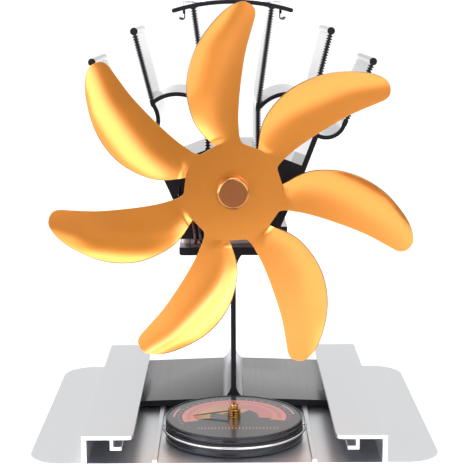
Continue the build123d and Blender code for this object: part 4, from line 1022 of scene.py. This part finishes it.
loop = rounded(loop_corners, [0, LOOP_BEND, LOOP_BEND, 0], steps=16, closed=False)
handle_path = np.concatenate([right_side[:-1], loop[1:-1], right_side[:-1][::-1] * MIRROR])
handle_points, handle_faces = wire(handle_path, HANDLE_WIRE)
handle = new_piece("wire_handle", handle_points, handle_faces, "handle", ["carry_handle"],
                   smooth_angle=60)
bright = grained("bright_plating", (0.56, 0.56, 0.57), 0.10, metallic=1.0, scale=1500.0, spread_by=0.04,
                 bump=0.08)
dress(ring, bright)
dress(handle, bright)

# %% [markdown]
# ## Extruded aluminium
#
# The tray, the post and the heat sink are lengths cut from extrusions, so fine die lines run from front
# to back. The tray keeps its natural silver with pale sawn ends. The post and the sink are dyed black. A
# copy of each CAD mesh is merged, its flat triangles are joined, and its edges are broken where that
# shows, because a real cut edge catches a line of light.

# %% Extrusions
SAWN_COS, FLAT_ANGLE = 0.95, math.radians(0.5)


def eased_copy(node, name, body, width, finish, cut_finish):
    """Merged copy of a CAD node's mesh: flat triangles joined, sawn ends finished apart, edges eased."""
    mesh = nodes[node].data.copy()
    mesh.name = name
    work = bmesh.new()
    work.from_mesh(mesh)
    bmesh.ops.remove_doubles(work, verts=work.verts, dist=MERGE)
    bmesh.ops.dissolve_limit(work, angle_limit=FLAT_ANGLE, verts=work.verts, edges=work.edges)
    mesh.materials.clear()
    mesh.materials.append(finish)
    mesh.materials.append(cut_finish)
    for face in work.faces:
        face.material_index = int(abs(face.normal[Y]) > SAWN_COS)
    work.to_mesh(mesh)
    work.free()
    mesh.shade_smooth()
    mesh.set_sharp_from_angle(angle=SHARP)
    piece = bpy.data.objects.new(name, mesh)
    bpy.context.scene.collection.objects.link(piece)
    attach(piece, body)
    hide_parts(node)
    if width:
        edge = piece.modifiers.new("broken_edges", "BEVEL")
        edge.width = width * MM
        edge.segments = 2
        edge.limit_method = "ANGLE"
        edge.angle_limit = SHARP
        edge.harden_normals = True
    sawn = np.zeros(len(mesh.polygons), np.int32)
    mesh.polygons.foreach_get("material_index", sawn)
    print(name, len(mesh.polygons), "faces before its edges are eased,", int(sawn.sum()), "of them sawn")
    return piece


sawn_within = math.degrees(math.acos(SAWN_COS))
print("a face is taken as sawn when it looks within", round(sawn_within), "degrees of Y")

# %% [markdown]
# Die lines run along Y, so their noise is stretched that way. A saw leaves its lines across the end,
# along X. The black dye keeps the lines, and its clear seal gives it the shine.

# %% Extruded finishes and the tray
SAW_LINES = (0.02, 1.0, 1.0)
silver = drawn("silver_extrusion", (0.78, 0.79, 0.80), 0.34, metallic=1.0, stretch_by=(1.0, 0.012, 1.0),
               scale=900.0, tone=0.05, spread_by=0.08, bump=0.2, height=8e-6)
silver_cut = drawn("sawn_silver", (0.93, 0.93, 0.94), 0.45, metallic=0.7, stretch_by=SAW_LINES, tone=0.08)
black_die = drawn("black_extrusion", (0.010, 0.010, 0.011), 0.20, stretch_by=(1.0, 0.012, 1.0),
                  scale=700.0, tone=0.5, spread_by=0.08, bump=0.12, height=8e-6, coat=1.0,
                  coat_roughness=0.10)
black_cut = drawn("sawn_black", (0.009, 0.009, 0.010), 0.5, stretch_by=SAW_LINES, tone=0.4, specular=0.15)
tray = eased_copy("dock_tray", "silver_tray", "tray", 0.10, silver, silver_cut)

# %% [markdown]
# Seen from the front, the top of each rail runs on into the wing beside it without a line. So the rail's
# outer shoulder is closed to a square edge, and a weight on every other sharp edge tells the bevel which
# to ease.

# %% Square shoulders
NEAR, CLOSE = 1e-6, 1e-5
rails = bmesh.new()
rails.from_mesh(tray.data)
rail_top = max(vert.co.z for vert in rails.verts)
top_half = max(abs(vert.co.x) for vert in rails.verts if vert.co.z > rail_top - NEAR)
shoulder_half = min(abs(vert.co.x) for vert in rails.verts
                    if abs(vert.co.x) > top_half + CLOSE and vert.co.z > rail_top / 2)
shoulder_cut = shoulder_half - top_half
for vert in rails.verts:
    if abs(vert.co.x) > top_half - NEAR and vert.co.z > rail_top - shoulder_cut - CLOSE:
        vert.co.x, vert.co.z = math.copysign(shoulder_half, vert.co.x), rail_top
bmesh.ops.remove_doubles(rails, verts=rails.verts, dist=CLOSE)
bmesh.ops.dissolve_degenerate(rails, edges=rails.edges, dist=NEAR)
weight = rails.edges.layers.float.new("bevel_weight_edge")
for edge in rails.edges:
    on_shoulder = all(vert.co.z > rail_top - NEAR and abs(vert.co.x) > shoulder_half - NEAR
                      for vert in edge.verts)
    edge[weight] = float(edge.calc_face_angle(0.0) > SHARP and not on_shoulder)
rails.to_mesh(tray.data)
rails.free()
tray.data.set_sharp_from_angle(angle=SHARP)
tray.modifiers["broken_edges"].limit_method = "WEIGHT"
print("shoulders closed over", round(shoulder_cut / MM, 2), "mm")

# %% [markdown]
# Under the rails' lips the foot is darker, as painted shade where the rails shade it. A mask that grows
# with the distance from the middle plane lowers the clear coat there and makes the surface rougher.

# %% Post with painted shade at the ends of its foot
FOOT_COAT, FOOT_ROUGHNESS = 0.9, 0.34
RAIL_SHADE_W, RAIL_SHADE_COAT, RAIL_SHADE_ROUGHNESS = 0.009, 0.15, 0.75
foot_die = drawn("foot_extrusion", (0.014, 0.014, 0.015), FOOT_ROUGHNESS, scale=800.0, tone=0.6,
                 spread_by=0.16, bump=0.35, height=1.2e-5, coat=FOOT_COAT, coat_roughness=0.24)
eased_copy("heat_post", "black_post", "fan", 0.15, foot_die, black_cut)
foot_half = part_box("heat_post")[1][X]
ft = foot_die.node_tree
foot_shader = ft.nodes["Principled BSDF"]
foot_split = ft.nodes.new("ShaderNodeSeparateXYZ")
ft.links.new(ft.nodes.new("ShaderNodeTexCoord").outputs["Object"], foot_split.inputs[0])
far_out = math_node(ft, "ABSOLUTE", foot_split.outputs["X"])
# Painted shade: the foot darkens towards both ends, where the rails shade it.
rail_shade = map_range(ft, far_out, foot_half - 2 * RAIL_SHADE_W, foot_half - RAIL_SHADE_W / 2)
coat_left = map_range(ft, rail_shade, 0.0, 1.0, FOOT_COAT, RAIL_SHADE_COAT, smooth=False)
ft.links.new(coat_left, foot_shader.inputs["Coat Weight"])
shiny = foot_shader.inputs["Roughness"].links[0].from_socket
rougher = math_node(ft, "MULTIPLY", rail_shade, RAIL_SHADE_ROUGHNESS - FOOT_ROUGHNESS)
ft.links.new(math_node(ft, "ADD", shiny, rougher), foot_shader.inputs["Roughness"])
print("foot half width", round(foot_half / MM, 1), "mm, dull over", round(2 * RAIL_SHADE_W / MM, 1), "mm")

# %% [markdown]
# The sink's straight fins have fine saw-tooth ribs along both faces, which give air more surface. Their
# valleys are pressed deeper and their crests drawn out here, so that the teeth show along each fin's cut
# end. A fin is a line between two points, each a share of the sink's half width and height, and valleys
# and crests lie at known distances from that line.

# %% Deeper ribs
FIN_KNOB_R, FIN_END_T = 1.75, 1.9
VALLEY, DEEP_VALLEY, CREST, FULL_CREST = 0.87, 0.54, 1.15, 1.56
PLAIN_START, PLAIN_END, RIB_NEAR = 2.4, 0.5, 0.04
FINS = np.array([[(0.180, 0.5595), (0.278, 0.984)], [(0.180, 0.37), (0.180, 0.5595)],
                 [(0.569, 0.574), (0.698, 0.879)], [(0.799, 0.488), (1.0, 0.752)]])
sink = eased_copy("heat_sink", "black_sink", "fan", 0.0, black_die, black_cut)
sink_low, sink_high = (np.array(corner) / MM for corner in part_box("heat_sink"))
sink_half_w, sink_height = sink_high[X] - FIN_KNOB_R, sink_high[Z] - FIN_END_T / 2 - sink_low[Z]


def move_ribs(piece, now, wanted):
    """Moves each point at one distance from a fin's middle line to the wanted one, on its own side."""
    places = np.empty(len(piece.data.vertices) * 3)
    piece.data.vertices.foreach_get("co", places)
    places = places.reshape(-1, 3) / MM
    moved = 0
    for hand in (-1, 1):
        for fin in FINS:
            start, end = fin * (hand * sink_half_w, sink_height) + (0, sink_low[Z])
            run = np.linalg.norm(end - start)
            ahead = (end - start) / run
            side = np.array([-ahead[1], ahead[0]])
            far, off = (places[:, [X, Z]] - start) @ ahead, (places[:, [X, Z]] - start) @ side
            on_rib = (far > PLAIN_START) & (far < run - PLAIN_END) & (np.abs(np.abs(off) - now) < RIB_NEAR)
            places[:, [X, Z]] += np.where(on_rib, np.sign(off) * (wanted - now), 0.0)[:, None] * side
            moved += int(on_rib.sum())
    piece.data.vertices.foreach_set("co", (places * MM).ravel())
    piece.data.update()
    print("rib points moved", moved)


move_ribs(sink, VALLEY, DEEP_VALLEY)
move_ribs(sink, CREST, FULL_CREST)

# %% [markdown]
# ## Module, clamp and motor
#
# Small parts show between the blades: the pale ceramic module between the two platforms, its clamp
# screws, and the motor's steel can with two soft leads. The CAD's own meshes serve for them, and each
# gets its finish.

# %% Small parts
small_parts = [
    (grained("ceramic_plate", (0.84, 0.74, 0.73), 0.55, scale=1600.0, tone=0.12, bump=0.2),
     ["module_hot_plate", "module_cold_plate"]),
    (grained("module_pellet_metal", (0.36, 0.36, 0.38), 0.40, metallic=1.0, scale=1800.0, tone=0.15),
     ["module_legs"]),
    (grained("silicone_seal", (0.85, 0.77, 0.76), 0.45, scale=700.0, tone=0.10, bump=0.2, height=4e-5),
     ["module_seal"]),
    (grained("graphite_pad", (0.10, 0.10, 0.105), 0.6, scale=2200.0, tone=0.2),
     ["lower_pad", "upper_pad"]),
    (grained("zinc_plate", (0.60, 0.61, 0.63), 0.30, metallic=1.0, scale=1800.0, tone=0.10),
     ["clamp_screws", "coil_post"]),
    (grained("blackened_steel", (0.06, 0.06, 0.065), 0.35, metallic=1.0, scale=1800.0, tone=0.2),
     ["motor_can", "motor_set_screw", "hub_grub_screw", "armature_core"]),
    (drawn("ground_steel", (0.65, 0.65, 0.67), 0.18, metallic=1.0, stretch_by=(1.0, 0.3, 1.0)),
     ["motor_shaft"]),
    (grained("white_moulding", (0.72, 0.71, 0.66), 0.45, scale=1200.0), ["clamp_bushes", "motor_end_cap"]),
    (grained("ferrite", (0.05, 0.05, 0.055), 0.6, scale=1500.0, tone=0.3),
     ["motor_magnets", "thermo_magnets"]),
    (drawn("copper_wire", (0.70, 0.30, 0.14), 0.30, metallic=1.0, stretch_by=(0.2, 0.05, 1.0),
           scale=2200.0),
     ["armature_coils", "commutator", "motor_brushes"]),
    (grained("motor_brass", (0.78, 0.55, 0.24), 0.28, metallic=1.0, scale=1600.0, tone=0.1),
     ["motor_front_bush", "motor_rear_bush", "motor_terminals"]),
    # The red lead's cover is darkened to a near-black red, as painted shade where it lies in the dark
    # slot.
    (grained("red_lead_darkened_painted_shade", (0.06, 0.005, 0.005), 0.22, scale=1200.0, tone=0.10, coat=0.5),
     ["module_lead_near"]),
    (grained("black_lead_cover", (0.012, 0.012, 0.013), 0.22, scale=1200.0, tone=0.10, coat=0.5),
     ["module_lead_far"]),
    (drawn("coil_strip", (0.55, 0.50, 0.42), 0.25, metallic=1.0, stretch_by=(0.5, 0.5, 1.0)),
     ["bimetal_coil"]),
]
for finish, names in small_parts:
    for name in names:
        dress(name, finish)
print("nodes dressed", sum(len(names) for _, names in small_parts))

# %% [markdown]
# The two leads run through a slot in the sink. A thin black plate fills the slot round them as painted
# shade, so the slot looks dark and no light comes through from behind. Its outline is a rounded rectangle
# carried over its thickness.

# %% Slot filled with a painted shade plate
SLOT_LEFT, BORE_LEFT, SLOT_Z, SLOT_H = -25.55, -12.3, HUB_Z - 1.9, 4.5
SEAL_DEPTH, SEAL_T, SEAL_R, SEAL_EDGE = 3.0, 1.6, 0.5, 0.92
slot_low, slot_high = SLOT_Z - SLOT_H / 2, SLOT_Z + SLOT_H / 2
seal_outline = rounded([(SLOT_LEFT, slot_low), (BORE_LEFT, slot_low), (BORE_LEFT, slot_high),
                        (SLOT_LEFT, slot_high)], SEAL_R, steps=5)
seal_front = sink_low[Y] + SEAL_DEPTH
seal_back = seal_front + SEAL_T
seal_middle = seal_outline.mean(0)
seal_layers = [(seal_front, SEAL_EDGE), (seal_front, 1.0), (seal_back, 1.0), (seal_back, SEAL_EDGE)]
seal_grid = np.stack([np.insert(seal_middle + (seal_outline - seal_middle) * share, 1, y, axis=1)
                      for y, share in seal_layers])
count = len(seal_outline)
seal_faces = grid_faces(len(seal_layers), count, close_columns=True).tolist()
seal_faces += [list(range(count)), list(range(3 * count, 4 * count))]
# A dark plate put into the slot as painted shade.
slot_shade_plate = new_piece("lead_slot_shade_plate", seal_grid, seal_faces, "fan")
dress(slot_shade_plate, grained("slot_painted_shade", (0.012, 0.012, 0.013), 0.55, scale=1200.0, tone=0.2))
